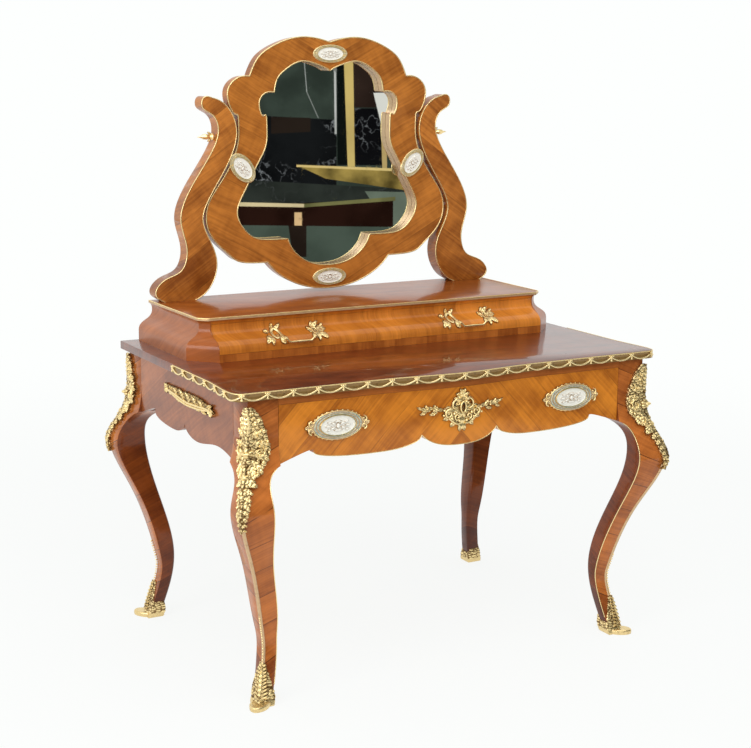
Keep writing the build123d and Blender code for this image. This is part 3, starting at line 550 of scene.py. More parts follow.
# ---- Meshes ---------------------------------------------------------------------------------
def link(name: str, data: bpy.types.ID) -> bpy.types.Object:
    """Put a mesh, lamp or camera into the scene as an object at the origin.

    Args:
        name: Name of the object.
        data: What it shows.

    Returns:
        The object.
    """
    obj = bpy.data.objects.new(name, data)
    bpy.context.scene.collection.objects.link(obj)
    return obj


def mesh_object(name: str, vertices: Iterable[Any], faces: Faces, edges: Faces | None = None) -> bpy.types.Object:
    """Object from plain vertices and faces.

    Args:
        name: Name of the object.
        vertices: Points.
        faces: Indices of the points of each face.
        edges: Indices of the ends of loose edges.

    Returns:
        The object.
    """
    mesh = bpy.data.meshes.new(name)
    mesh.from_pydata([tuple(v) for v in vertices], edges or [], faces)
    mesh.update()
    return link(name, mesh)


def lofted(name: str, loops: list[list[Any]], caps: Iterable[int] = (), closed: bool = False) -> bpy.types.Object:
    """Skin over successive loops of points.

    Args:
        name: Name of the object.
        loops: The loops, with as many points each.
        caps: Indices of the loops that a face closes.
        closed: Whether the last loop joins the first one.

    Returns:
        The object.
    """
    count, size = len(loops), len(loops[0])
    faces: Faces = []
    for i in range(count if closed else count - 1):
        for j in range(size):
            k, n = (j + 1) % size, (i + 1) % count
            faces.append((i * size + j, i * size + k, n * size + k, n * size + j))
    faces += [tuple(range(i * size, (i + 1) * size)) for i in caps]
    return mesh_object(name, [point for loop in loops for point in loop], faces)


def settle(obj: bpy.types.Object) -> bpy.types.Object:
    """Turn an object's modifiers into its mesh.

    Args:
        obj: Object with live modifiers.

    Returns:
        The same object, plain.
    """
    bpy.context.view_layer.update()
    evaluated = obj.evaluated_get(bpy.context.evaluated_depsgraph_get())
    mesh = bpy.data.meshes.new_from_object(evaluated)
    obj.modifiers.clear()
    obj.data = mesh
    return obj


def add_modifier(obj: bpy.types.Object, kind: str, **settings: Any) -> None:
    """Add a modifier.

    Args:
        obj: Object that it works on.
        kind: Type name of the modifier.
        settings: Its properties.
    """
    modifier = obj.modifiers.new(kind.lower(), kind)
    for key, value in settings.items():
        setattr(modifier, key, value)


def opened(mesh: bpy.types.Mesh, distance: float = 0.0) -> bmesh.types.BMesh:
    """Mesh as a bmesh.

    Args:
        mesh: The mesh.
        distance: Merging distance of its vertices, if they are merged.

    Returns:
        The bmesh.
    """
    shape = bmesh.new()
    shape.from_mesh(mesh)
    if distance:
        bmesh.ops.remove_doubles(shape, verts=shape.verts, dist=distance)
    return shape


def close(shape: bmesh.types.BMesh, mesh: bpy.types.Mesh) -> None:
    """Write a bmesh into a mesh and free it."""
    shape.to_mesh(mesh)
    shape.free()


def tidy_mesh(obj: bpy.types.Object, distance: float = 1e-6, outward: bool = True) -> bpy.types.Object:
    """Merge doubles, drop flat faces and turn the faces outwards.

    Args:
        obj: Object to clean.
        distance: Merging distance.
        outward: Whether the normals are recalculated.

    Returns:
        The same object.
    """
    shape = opened(obj.data, distance)
    bmesh.ops.dissolve_degenerate(shape, edges=shape.edges, dist=distance)
    if outward:
        bmesh.ops.recalc_face_normals(shape, faces=shape.faces)
    close(shape, obj.data)
    return obj


def wear_material(obj: bpy.types.Object, material: bpy.types.Material) -> None:
    """Give an object one material."""
    obj.data.materials.clear()
    obj.data.materials.append(material)


def finished(obj: bpy.types.Object, material: bpy.types.Material, angle: float) -> bpy.types.Object:
    """Shade an object smoothly and give it its material.

    Args:
        obj: The object.
        material: Its material.
        angle: Edges above this angle in degrees stay crisp.

    Returns:
        The same object.
    """
    shape = opened(obj.data)
    for face in shape.faces:
        face.smooth = True
    for edge in shape.edges:
        edge.smooth = edge.calc_face_angle(0.0) < math.radians(angle)
    close(shape, obj.data)
    wear_material(obj, material)
    return obj


def paint(obj: bpy.types.Object, label: str, values: Any) -> None:
    """Store a number for each vertex as an attribute."""
    layer = obj.data.attributes.new(label, "FLOAT", "POINT")
    layer.data.foreach_set("value", np.asarray(values, dtype=np.float32))


def facing(normals: list[Vector], way: tuple[float, float, float], least: float) -> bool:
    """Whether one of the faces beside an edge looks a given way."""
    return any(normal.dot(Vector(way)) > least for normal in normals)


def sharp_paths(node: bpy.types.Object, keep: Callable[[Vector, list[Vector]], bool], least: float = 0.0) -> list[Path]:
    """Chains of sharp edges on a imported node.

    Args:
        node: The node.
        keep: Says from an edge's middle and the normals beside it whether it counts.
        least: Length that a chain must exceed.

    Returns:
        Points of each chain, and whether it closes, longest first.
    """
    shape = opened(node.data, WELD)
    shape.normal_update()
    links: dict[int, list[int]] = {}
    spots: dict[int, Vector] = {}
    for edge in shape.edges:
        if len(edge.link_faces) != 2 or edge.calc_face_angle(0.0) <= SHARP:
            continue
        first, second = edge.verts
        if keep((first.co + second.co) / 2, [face.normal for face in edge.link_faces]):
            for here, there in ((first, second), (second, first)):
                links.setdefault(here.index, []).append(there.index)
                spots[here.index] = here.co.copy()
    shape.free()
    paths: list[Path] = []
    used: set[int] = set()
    for start in sorted(links, key=lambda vertex: (len(links[vertex]) != 1, vertex)):
        if start in used:
            continue
        chain, options = [], [start]
        while options:
            chain.append(options[0])
            used.add(options[0])
            options = [vertex for vertex in links[options[0]] if vertex not in used]
        if len(chain) > 2:
            paths.append(([spots[vertex] for vertex in chain], start in links[chain[-1]]))
    paths = [path for path in paths if path_length(path[0]) > least]
    return sorted(paths, key=lambda path: -path_length(path[0]))


def gaps(points: list[Vector]) -> list[float]:
    """Distances between the points of a chain."""
    return [(second - first).length for first, second in zip(points, points[1:])]


def path_length(points: list[Vector]) -> float:
    """Length of a chain of points."""
    return sum(gaps(points))


def resampled(points: list[Vector], step: float) -> list[Vector]:
    """Chain of points at even distances along another one.

    Args:
        points: The other chain.
        step: Distance between two points, rounded so that it fits.

    Returns:
        The points.
    """
    marks = np.concatenate([[0.0], np.cumsum(gaps(points))])
    wanted = np.linspace(0, marks[-1], max(2, int(round(marks[-1] / step)) + 1))
    array = np.array([tuple(p) for p in points])
    return [Vector([float(np.interp(mark, marks, array[:, axis])) for axis in range(3)]) for mark in wanted]


def shifted(points: list[Vector], drop: float) -> list[Vector]:
    """Chain of points, lowered."""
    return [point - Vector((0, 0, drop)) for point in points]


def path_object(name: str, points: list[Vector], closed: bool = False) -> bpy.types.Object:
    """Mesh of edges only, along an open or closed chain of points."""
    edges: Faces = [(i, i + 1) for i in range(len(points) - 1)]
    return mesh_object(name, points, [], edges + [(len(points) - 1, 0)] if closed else edges)


# ---- Repeats, in Geometry Nodes -------------------------------------------------------------
class Repeats:
    """Geometry Nodes trees for what follows a path."""

    def __init__(self) -> None:
        """Build every tree."""
        self.line, self.beads, self.swags = self.build_line(), self.build_beads(), self.build_swags()

    @staticmethod
    def start(name: str, inputs: dict[str, Any]) -> tuple[Wiring, Any, Any, Any]:
        """Start a tree that takes a path and a material.

        Args:
            name: Name of the tree.
            inputs: Default of each input besides, or its socket type.

        Returns:
            The wiring, the inputs, the outputs to fill, and the path as a curve.
        """
        every = {"Geometry": "Geometry", **inputs, "Material": "Material"}
        w, given, result = start_group(name, "GeometryNodeTree", every, {"Geometry": "Geometry"})
        return w, given, result, w.out("GeometryNodeMeshToCurve", {0: given["Geometry"]})

    @staticmethod
    def end(w: Wiring, given: Any, result: Any, geometry: Any) -> bpy.types.NodeTree:
        """Close a tree with Realize Instances, smooth shading and Set Material.

        Args:
            w: Wiring of the tree.
            given: Its inputs.
            result: Its outputs to fill.
            geometry: What it has made.

        Returns:
            The tree.
        """
        real = w.out("GeometryNodeRealizeInstances", {0: geometry})
        smooth = w.out("GeometryNodeSetShadeSmooth", {"Geometry": real})
        w.fill(result, {0: w.out("GeometryNodeSetMaterial", {"Geometry": smooth, "Material": given["Material"]})})
        return w.tree

    @staticmethod
    def even(w: Wiring, curve: Any, mode: str, amount: Any) -> Any:
        """Curve with even points, by their Count or their Length apart."""
        return w.out("GeometryNodeResampleCurve", {"Curve": curve, mode: amount}, mode=mode.upper())

    @staticmethod
    def tube(w: Wiring, curve: Any, radius: Any) -> Any:
        """Round closed tube along a curve."""
        section = w.out("GeometryNodeCurvePrimitiveCircle", {"Resolution": 8, "Radius": radius})
        return w.out("GeometryNodeCurveToMesh", {"Curve": curve, "Profile Curve": section, "Fill Caps": True})

    @staticmethod
    def aimed(w: Wiring, **settings: str) -> Any:
        """Rotation that turns an axis along the curve."""
        return w.out("FunctionNodeAlignRotationToVector", {"Vector": w.out("GeometryNodeInputTangent")}, **settings)

    @classmethod
    def build_line(cls) -> bpy.types.NodeTree:
        """Drawn moulding of round section."""
        w, given, result, curve = cls.start("Edge Moulding", {"Radius": 0.001, "Step": 0.003})
        return cls.end(w, given, result, cls.tube(w, cls.even(w, curve, "Length", given["Step"]), given["Radius"]))

    @classmethod
    def build_beads(cls) -> bpy.types.NodeTree:
        """String of beads, every other one longer.

        Returns:
            The tree.
        """
        w, given, result, curve = cls.start("Bead String", {"Radius": 0.002, "Spacing": 0.006})
        odd = w.math("MODULO", w.out("GeometryNodeInputIndex"), 2.0)
        row = w.out("GeometryNodeInstanceOnPoints", {
            "Points": cls.even(w, curve, "Length", given["Spacing"]),
            "Instance": w.out("GeometryNodeMeshUVSphere", {"Segments": 10, "Rings": 6, "Radius": given["Radius"]}),
            "Rotation": cls.aimed(w, axis="Z"), "Scale": w.vector(1.0, 1.0, w.math("MULTIPLY_ADD", odd, 0.55, 0.75))})
        return cls.end(w, given, result, row)

    @classmethod
    def build_swags(cls) -> bpy.types.NodeTree:
        """Garland: a cord that hangs in even swags, with a husk drop at every knot.

        Returns:
            The tree.
        """
        w, given, result, curve = cls.start("Garland", {
            "Swags": 10, "Period": 0.06, "Sag": 0.009, "Cord": 0.0013, "Drop": "Object"})
        along = w.add("GeometryNodeSplineParameter").outputs["Length"]
        wave = w.math("SINE", w.times(w.math("DIVIDE", along, given["Period"]), math.pi))
        dip = w.math("POWER", w.math("ABSOLUTE", wave), 0.8)
        fall = w.vector(0.0, 0.0, w.times(w.times(dip, given["Sag"]), -1.0))
        fine = cls.even(w, curve, "Count", w.math("MULTIPLY_ADD", given["Swags"], 16.0, 1.0))
        hung = w.out("GeometryNodeSetPosition", {"Geometry": fine, "Offset": fall})
        rope = w.out("GeometryNodeSetCurveRadius", {"Curve": hung, "Radius": w.math("MULTIPLY_ADD", dip, 0.5, 0.7)})
        row = w.out("GeometryNodeInstanceOnPoints", {
            "Points": cls.even(w, curve, "Count", w.math("ADD", given["Swags"], 1.0)),
            "Instance": w.add("GeometryNodeObjectInfo", {"Object": given["Drop"]}).outputs["Geometry"],
            "Rotation": cls.aimed(w, axis="X", pivot_axis="Z")})
        join = w.add("GeometryNodeJoinGeometry", {0: cls.tube(w, rope, given["Cord"])})
        w.fill(join.inputs, {0: row})
        return cls.end(w, given, result, join.outputs[0])

    @staticmethod
    def grow(tree: bpy.types.NodeTree, base: bpy.types.Object, values: dict[str, Any]) -> bpy.types.Object:
        """Run a tree on a base object and turn the result into a plain mesh.

        Args:
            tree: The tree.
            base: Object that carries the path.
            values: Value of each named input.

        Returns:
            The same object with the finished mesh.
        """
        modifier = base.modifiers.new(tree.name, "NODES")
        modifier.node_group = tree
        for item in tree.interface.items_tree:
            if item.in_out == "INPUT" and item.name in values:
                modifier[item.identifier] = values[item.name]
        return settle(base)


def joined(name: str, objects: list[bpy.types.Object]) -> bpy.types.Object:
    """Join plain mesh objects that share one material.

    Args:
        name: Name of the result.
        objects: The objects, which are removed.

    Returns:
        The new object.
    """
    shape, mesh = bmesh.new(), bpy.data.meshes.new(name)
    mesh.materials.append(objects[0].data.materials[0])
    for obj in objects:
        shape.from_mesh(obj.data)
        bpy.data.objects.remove(obj)
    close(shape, mesh)
    return link(name, mesh)


# ---- Carved and chased work -----------------------------------------------------------------
def on_oval(centre: Spot, wide: float, tall: float, turn: float) -> Spot:
    """Point of an oval at an angle."""
    return centre[0] + wide * math.cos(turn), centre[1] + tall * math.sin(turn)


def arch(share: float) -> float:
    """Height of a half circle at a share of its radius."""
    return math.sqrt(max(0.0, 1 - share * share))


def smooth_line(points: list[Spot], steps: int) -> list[Spot]:
    """Smooth plane curve through a few points.

    Args:
        points: The points.
        steps: New points between two of them.

    Returns:
        Points of the curve.
    """
    padded = [points[0], *points, points[-1]]
    line = []
    for i in range(1, len(padded) - 2):
        before, here, there, after = (np.array(padded[i + k]) for k in (-1, 0, 1, 2))
        for step in range(steps):
            t = step / steps
            spot = 0.5 * (2 * here + (there - before) * t + (2 * before - 5 * here + 4 * there - after) * t ** 2
                          + (3 * here - before - 3 * there + after) * t ** 3)
            line.append((float(spot[0]), float(spot[1])))
    return [*line, points[-1]]


def volute(centre: Spot, radius: float, turns: float, start: float, way: int = 1) -> list[Spot]:
    """Points of a spiral that closes in on its centre.

    Args:
        centre: Its middle.
        radius: Its outer radius.
        turns: Number of turns.
        start: Angle of its outer end, in degrees.
        way: 1 for anticlockwise and -1 for clockwise.

    Returns:
        The points, from the outer end inwards.
    """
    points, last = [], int(8 * turns)
    for i in range(last + 1):
        share = i / last
        reach = radius * (1 - 0.78 * share)
        points.append(on_oval(centre, reach, reach, math.radians(start) + way * TURN * turns * share))
    return points


def scaled_mm(points: Iterable[Spot], flip: int = 1) -> list[Spot]:
    """Points in millimetres to metres, mirrored when flip is -1."""
    return [(flip * a * MM, b * MM) for a, b in points]


@dataclass
class Carving:
    """Leaves, stems and bosses laid over a surface, gathered into one mesh."""

    place: Place
    sink: float = 0.0008
    boss_sink: float = 0.0004
    vertices: list[Vector] = field(default_factory=list)
    faces: Faces = field(default_factory=list)
    relief: list[float] = field(default_factory=list)

    def sheet(self, grid: list[list[tuple[float, float, float, float]]], sink: float) -> None:
        """Add a closed shell over a grid of surface points.

        Args:
            grid: Rows of (first coordinate, second coordinate, height, relief).
            sink: Depth of the underside below the surface.
        """
        rows, columns = len(grid), len(grid[0])
        for under in (False, True):
            first = len(self.vertices)
            for i, row in enumerate(grid):
                for j, (a, b, height, relief) in enumerate(row):
                    edge = i in (0, rows - 1) or j in (0, columns - 1)
                    self.vertices.append(self.place(a, b, height if edge or not under else -sink))
                    self.relief.append(relief)
            for i in range(rows - 1):
                for j in range(columns - 1):
                    corner = first + i * columns + j
                    quad = (corner, corner + 1, corner + columns + 1, corner + columns)
                    self.faces.append(quad[::-1] if under else quad)

    def leaf(self, base: Spot, angle: float, length: float, width: float, rise: float, bend: float = 0.0,
             lobes: int = 3, lift: float = 0.0) -> None:
        """Lobed leaf with a grooved midrib.

        Args:
            base: Where it starts on the surface.
            angle: Its direction in degrees, from the first coordinate.
            length: Its length.
            width: Half its width.
            rise: Its height.
            bend: Sideways sweep of the tip, as a share of the length.
            lobes: Number of lobes on each side.
            lift: Height of its edge above the surface.
        """
        steps, half, turn = 4 * lobes, 4, math.radians(angle)
        ahead, aside = (math.cos(turn), math.sin(turn)), (-math.sin(turn), math.cos(turn))
        grid = []
        for i in range(steps + 1):
            t = i / steps
            swell = max(0.0, math.sin(math.pi * min(1.0, 0.04 + 0.96 * t ** 0.8))) ** 0.75
            spread = width * swell * (0.66 + 0.34 * abs(math.sin(math.pi * lobes * t)))
            row = []
            for v in (j / half for j in range(-half, half + 1)):
                forward = length * t + 0.35 * spread * abs(v)
                side = bend * length * t * t + spread * v
                rib = 1 - 0.45 * math.exp(-(v / 0.16) ** 2)
                ripple = 0.7 + 0.3 * math.cos(TURN * lobes * t - 2.2 * abs(v))
                part = arch(v) * rib * ripple * (0.35 + 0.65 * math.sin(math.pi * t) ** 0.6 + 0.25 * t ** 3)
                row.append((base[0] + ahead[0] * forward + aside[0] * side,
                            base[1] + ahead[1] * forward + aside[1] * side, lift + rise * part, 0.15 + part))
            grid.append(row)
        self.sheet(grid, self.sink)

    def stem(self, points: list[Spot], radii: Spot, rise: float, lift: float = 0.0) -> None:
        """Half-round stem along a smooth line, tapering from one end to the other.

        Args:
            points: Points of the line on the surface.
            radii: Half widths at both ends.
            rise: Height at its thick end.
            lift: Height of its edge above the surface.
        """
        line = smooth_line(points, 8)
        total = len(line) - 1
        grid = []
        for i, (a, b) in enumerate(line):
            before, after = line[max(0, i - 1)], line[min(total, i + 1)]
            span = math.hypot(after[0] - before[0], after[1] - before[1]) or 1.0
            normal = (-(after[1] - before[1]) / span, (after[0] - before[0]) / span)
            radius = radii[0] + (radii[1] - radii[0]) * (i / total)
            grid.append([(a + normal[0] * radius * v, b + normal[1] * radius * v,
                          lift + rise * arch(v) * radius / max(radii), 0.1 + 0.9 * arch(v))
                         for v in (j / 3 for j in range(-3, 4))])
        self.sheet(grid, self.sink)

    def boss(self, centre: Spot, radius: float, rise: float, petals: int = 0, lift: float = 0.0) -> None:
        """Round boss, or a rosette when it has petals.

        Args:
            centre: Its middle on the surface.
            radius: Its radius.
            rise: Its height.
            petals: Number of petals.
            lift: Height of its edge above the surface.
        """
        rings, spokes = 6, max(16, 6 * petals)
        grid = []
        for share in (1 - i / rings for i in range(rings + 1)):
            row = []
            for turn in (TURN * j / spokes for j in range(spokes + 1)):
                wave = abs(math.sin(petals * turn / 2)) if petals else 1.0
                reach = radius * share * (0.72 + 0.28 * wave)
                dip = 0.5 + 0.5 * wave if petals and share > 0.35 else 1.0
                row.append((*on_oval(centre, reach, reach, turn), lift + rise * arch(share) * dip,
                            0.1 + 0.9 * arch(share) * dip))
            grid.append(row)
        self.sheet(grid, self.boss_sink)

    def bosses(self, spots: Iterable[tuple[float, float, float]], sign: int, rise: float, lift: float) -> None:
        """Bosses from both coordinates and the radius of each in millimetres, the large ones with petals."""
        for a, b, radius in spots:
            self.boss((sign * a * MM, b * MM), radius * MM, rise, 5 if radius > 4.5 else 0, lift)

    def build(self, name: str, material: bpy.types.Material) -> bpy.types.Object:
        """Turn what was added into one object.

        Args:
            name: Name of the object.
            material: Its material.

        Returns:
            The object.
        """
        obj = mesh_object(name, self.vertices, self.faces)
        # the relief attribute also darkens the low parts in the gilding: patina and painted shade
        paint(obj, "relief", np.clip(self.relief, 0, 1))
        return finished(tidy_mesh(obj, 2e-6), material, CARVED)


@dataclass(frozen=True)
class Chasing:
    """How the skin of a cast mount is worked."""

    cell: float
    rise: float
    stretch: tuple[float, float, float]
    seed: int
    voxel: float = 0.0012
    quiet: float = 0.0
    floor_margin: float = 0.003

    def work(self, node: bpy.types.Object, name: str, material: bpy.types.Material,
             floor: float | None = None) -> bpy.types.Object:
        """Copy a packed mount and raise nuggets and folds on its skin.

        Args:
            node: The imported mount.
            name: Its name.
            material: Material of the copy.
            floor: Lowest height that the copy may reach.

        Returns:
            The worked copy.
        """
        obj = tidy_mesh(link(f"{name}_chased", node.data.copy()), WELD)
        add_modifier(obj, "REMESH", mode="VOXEL", voxel_size=self.voxel)
        vertices = settle(obj).data.vertices
        spots, normals = np.zeros(len(vertices) * 3), np.zeros(len(vertices) * 3)
        vertices.foreach_get("co", spots)
        vertices.foreach_get("normal", normals)
        spots, normals = spots.reshape(-1, 3), normals.reshape(-1, 3)
        dome, tone = self.cells(spots)
        dome = np.where(spots[:, 2] < self.quiet, 0.6, dome)
        shift = self.rise * (dome * (0.55 + 0.45 * tone) - 0.3)
        moved = spots + normals * shift[:, None]
        if floor is not None:
            low = spots[:, 2] < floor + self.floor_margin
            moved[low] = spots[low]
            moved[:, 2] = np.maximum(moved[:, 2], floor)
        vertices.foreach_set("co", moved.ravel())
        # the dome also darkens the hollows in the gilding: patina and painted shade
        paint(obj, "relief", dome)
        obj.data.update()
        return finished(obj, material, CAST)

    def cells(self, spots: np.ndarray) -> tuple[np.ndarray, np.ndarray]:
        """Rounded cells over a cloud of points.

        Args:
            spots: The points.

        Returns:
            Height of each point in its cell, and the cell's own number, both from 0 to 1.
        """
        random = np.random.default_rng(self.seed)
        scaled = spots / (self.cell * np.array(self.stretch))
        low, high = np.floor(scaled.min(0)) - 1, np.ceil(scaled.max(0)) + 1
        axes = [np.arange(a, b + 1) for a, b in zip(low, high)]
        grid = np.stack(np.meshgrid(*axes, indexing="ij"), -1).reshape(-1, 3)
        seeds = grid + random.uniform(-0.42, 0.42, grid.shape)
        numbers = random.uniform(0, 1, len(seeds))
        tree = KDTree(len(seeds))
        for index, seed in enumerate(seeds):
            tree.insert(seed, index)
        tree.balance()
        dome, tone = np.zeros(len(spots)), np.zeros(len(spots))
        for index, spot in enumerate(scaled):
            (_, near, first), (_, _, second) = tree.find_n(spot, 2)
            dome[index] = min(1.0, (second - first) / 0.62) ** 0.55
            tone[index] = numbers[near]
        return dome, tone


# Urn and laurels on an oval: across, up, half length, half width and angle, as shares of the radii.
LAURELS = ((0.26, 0.20, 0.17, 40), (0.30, -0.26, 0.19, -35), (0.50, 0.34, 0.15, 25), (0.56, -0.06, 0.20, 8),
           (0.52, -0.44, 0.14, -20))
SPRAY: tuple[Frond, ...] = (
    (0.0, -0.04, 0.13, 0.34, 0), (0.0, 0.42, 0.24, 0.10, 0), (0.0, -0.50, 0.28, 0.10, 0),
    *((sign * across, up, size, 0.11, sign * angle) for sign in (1, -1) for across, up, size, angle in LAURELS))


@dataclass(frozen=True)
class Oval:
    """Oval plaque in an upright plane: tinted ground, rings and a white relief in its middle."""

    middle: tuple[float, float, float]
    radii: Spot
    depth: float
    tilt: float = 0.0
    inner: float = 0.74
    rings: int = 44
    spokes: int = 88

    def point(self, spot: Spot, rise: float) -> Vector:
        """Point in space.

        Args:
            spot: Distances across and up, as shares of the radii.
            rise: Distance in front of the plane.

        Returns:
            The point.
        """
        turn, (x, y, z) = math.radians(self.tilt), self.middle
        a, b = spot[0] * self.radii[0], spot[1] * self.radii[1]
        return Vector((x + a * math.cos(turn) - b * math.sin(turn), y - rise,
                       z + a * math.sin(turn) + b * math.cos(turn)))

    def build(self, name: str, material: bpy.types.Material) -> bpy.types.Object:
        """Build the plaque.

        Args:
            name: Name of the object.
            material: Its material.

        Returns:
            The object, with relief and motif attributes.
        """
        turns = [TURN * j / self.spokes for j in range(self.spokes)]
        loops, relief, motif = [], [], []
        for share in (i / self.rings for i in range(self.rings + 1)):
            loop = []
            for turn in turns:
                spot = (share * math.cos(turn), share * math.sin(turn))
                height, tint, white = self.profile(share, *spot)
                loop.append(self.point(spot, self.depth * height))
                relief.append(tint)
                motif.append(white)
            loops.append(loop)
        loops.append([Vector((corner.x, self.middle[1], corner.z)) for corner in loops[-1]])
        obj = lofted(name, loops, [self.rings + 1])
        paint(obj, "relief", relief + [0.5] * self.spokes)
        paint(obj, "motif", motif + [0.0] * self.spokes)
        return finished(tidy_mesh(obj), material, TURNED)

    def profile(self, share: float, across: float, up: float) -> tuple[float, float, float]:
        """Height, tint and whiteness at a point of the oval.

        Args:
            share: Distance from the middle, 1 at the rim.
            across: First coordinate, as a share of the radius.
            up: Second coordinate, as a share of the radius.

        Returns:
            Height as a share of the depth, a tint that puts brown strokes round the motif and painted shade in the
            hollows between the rings, and whiteness.
        """
        if share > self.inner:
            part = (share - self.inner) / (1 - self.inner)
            ring = 0.5 + 0.5 * math.cos(TURN * 2.5 * part)
            # low tint in the hollows between the rings: painted shade
            return 0.55 + 0.4 * ring * (1 - 0.4 * part), 0.25 + 0.6 * ring, 0.0
        height = 0.0
        for x, z, long_half, wide_half, angle in SPRAY:
            bend = math.radians(angle)
            dx, dz = across / self.inner - x, up / self.inner - z
            u = (dx * math.cos(bend) + dz * math.sin(bend)) / long_half
            v = (dz * math.cos(bend) - dx * math.sin(bend)) / wide_half
            height = max(height, math.sqrt(max(0.0, 1 - u * u - v * v)))
        return 0.5 + 0.5 * height, 0.0 if 0.0 < height < 0.72 else 0.8, 1.0


# ---- The object -----------------------------------------------------------------------------
@dataclass
class Kit:
    """What every sub-assembly needs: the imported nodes, the finishes and the repeats."""

    nodes: dict[str, bpy.types.Object]
    finishes: Finishes
    repeats: Repeats
    line_step: float = 0.004
    flat_angle: float = 0.4
    edge_angle: float = 32.0
    pieces: int = 0

    def add(self, obj: bpy.types.Object, body: str = "table", replaces: str = "", slot: str = GILT) -> None:
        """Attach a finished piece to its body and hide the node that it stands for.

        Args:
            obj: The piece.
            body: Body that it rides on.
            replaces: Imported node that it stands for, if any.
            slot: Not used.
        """
        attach(obj, body)
        if replaces:
            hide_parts(replaces)
        self.pieces += 1
        LOG.info("%s: %d faces, on %s", obj.name, len(obj.data.polygons), body)

    def dress(self, finish: str, *names: str) -> None:
        """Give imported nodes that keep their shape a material."""
        for name in names:
            wear_material(self.nodes[name], self.finishes[finish])

    def soften(self, name: str, wood: str, width: float) -> None:
        """Replace a node of the table by a copy whose sharp edges are slightly rounded.

        Args:
            name: The node.
            wood: Its veneer.
            width: Width of the rounding.
        """
        obj = tidy_mesh(link(f"{name}_polished", self.nodes[name].data.copy()), WELD, outward=False)
        add_modifier(obj, "DECIMATE", decimate_type="DISSOLVE", angle_limit=math.radians(self.flat_angle))
        add_modifier(obj, "BEVEL", width=width, segments=2, limit_method="ANGLE",
                     angle_limit=math.radians(self.edge_angle))
        self.add(finished(settle(obj), self.finishes[wood], JOINERY), replaces=name, slot="veneer")

    def chased(self, name: str, skin: Chasing, metal: str = "gilt_cast", **settings: float) -> bpy.types.Object:
        """Worked copy of a packed mount."""
        return skin.work(self.nodes[name], name, self.finishes[metal], **settings)

    def carve(self, work: Carving, name: str, body: str = "table", replaces: str = "",
              metal: str = "gilt_cast") -> None:
        """Build carved work as a piece."""
        self.add(work.build(name, self.finishes[metal]), body, replaces)

    def drawn(self, base: bpy.types.Object, radius: float, step: float, metal: str = "gilt_drawn") -> bpy.types.Object:
        """Drawn moulding along a base object's path."""
        values = {"Radius": radius, "Step": step, "Material": self.finishes[metal]}
        return self.repeats.grow(self.repeats.line, base, values)

    def beading(self, name: str, body: str, paths: list[Path], radius: float, metal: str = "gilt_drawn") -> None:
        """Lay thin drawn mouldings of one radius and gilding along paths, as one piece on a body."""
        bases = [path_object(f"{name}_{index}", *path) for index, path in enumerate(paths)]
        self.add(joined(name, [self.drawn(base, radius, self.line_step, metal) for base in bases]), body)


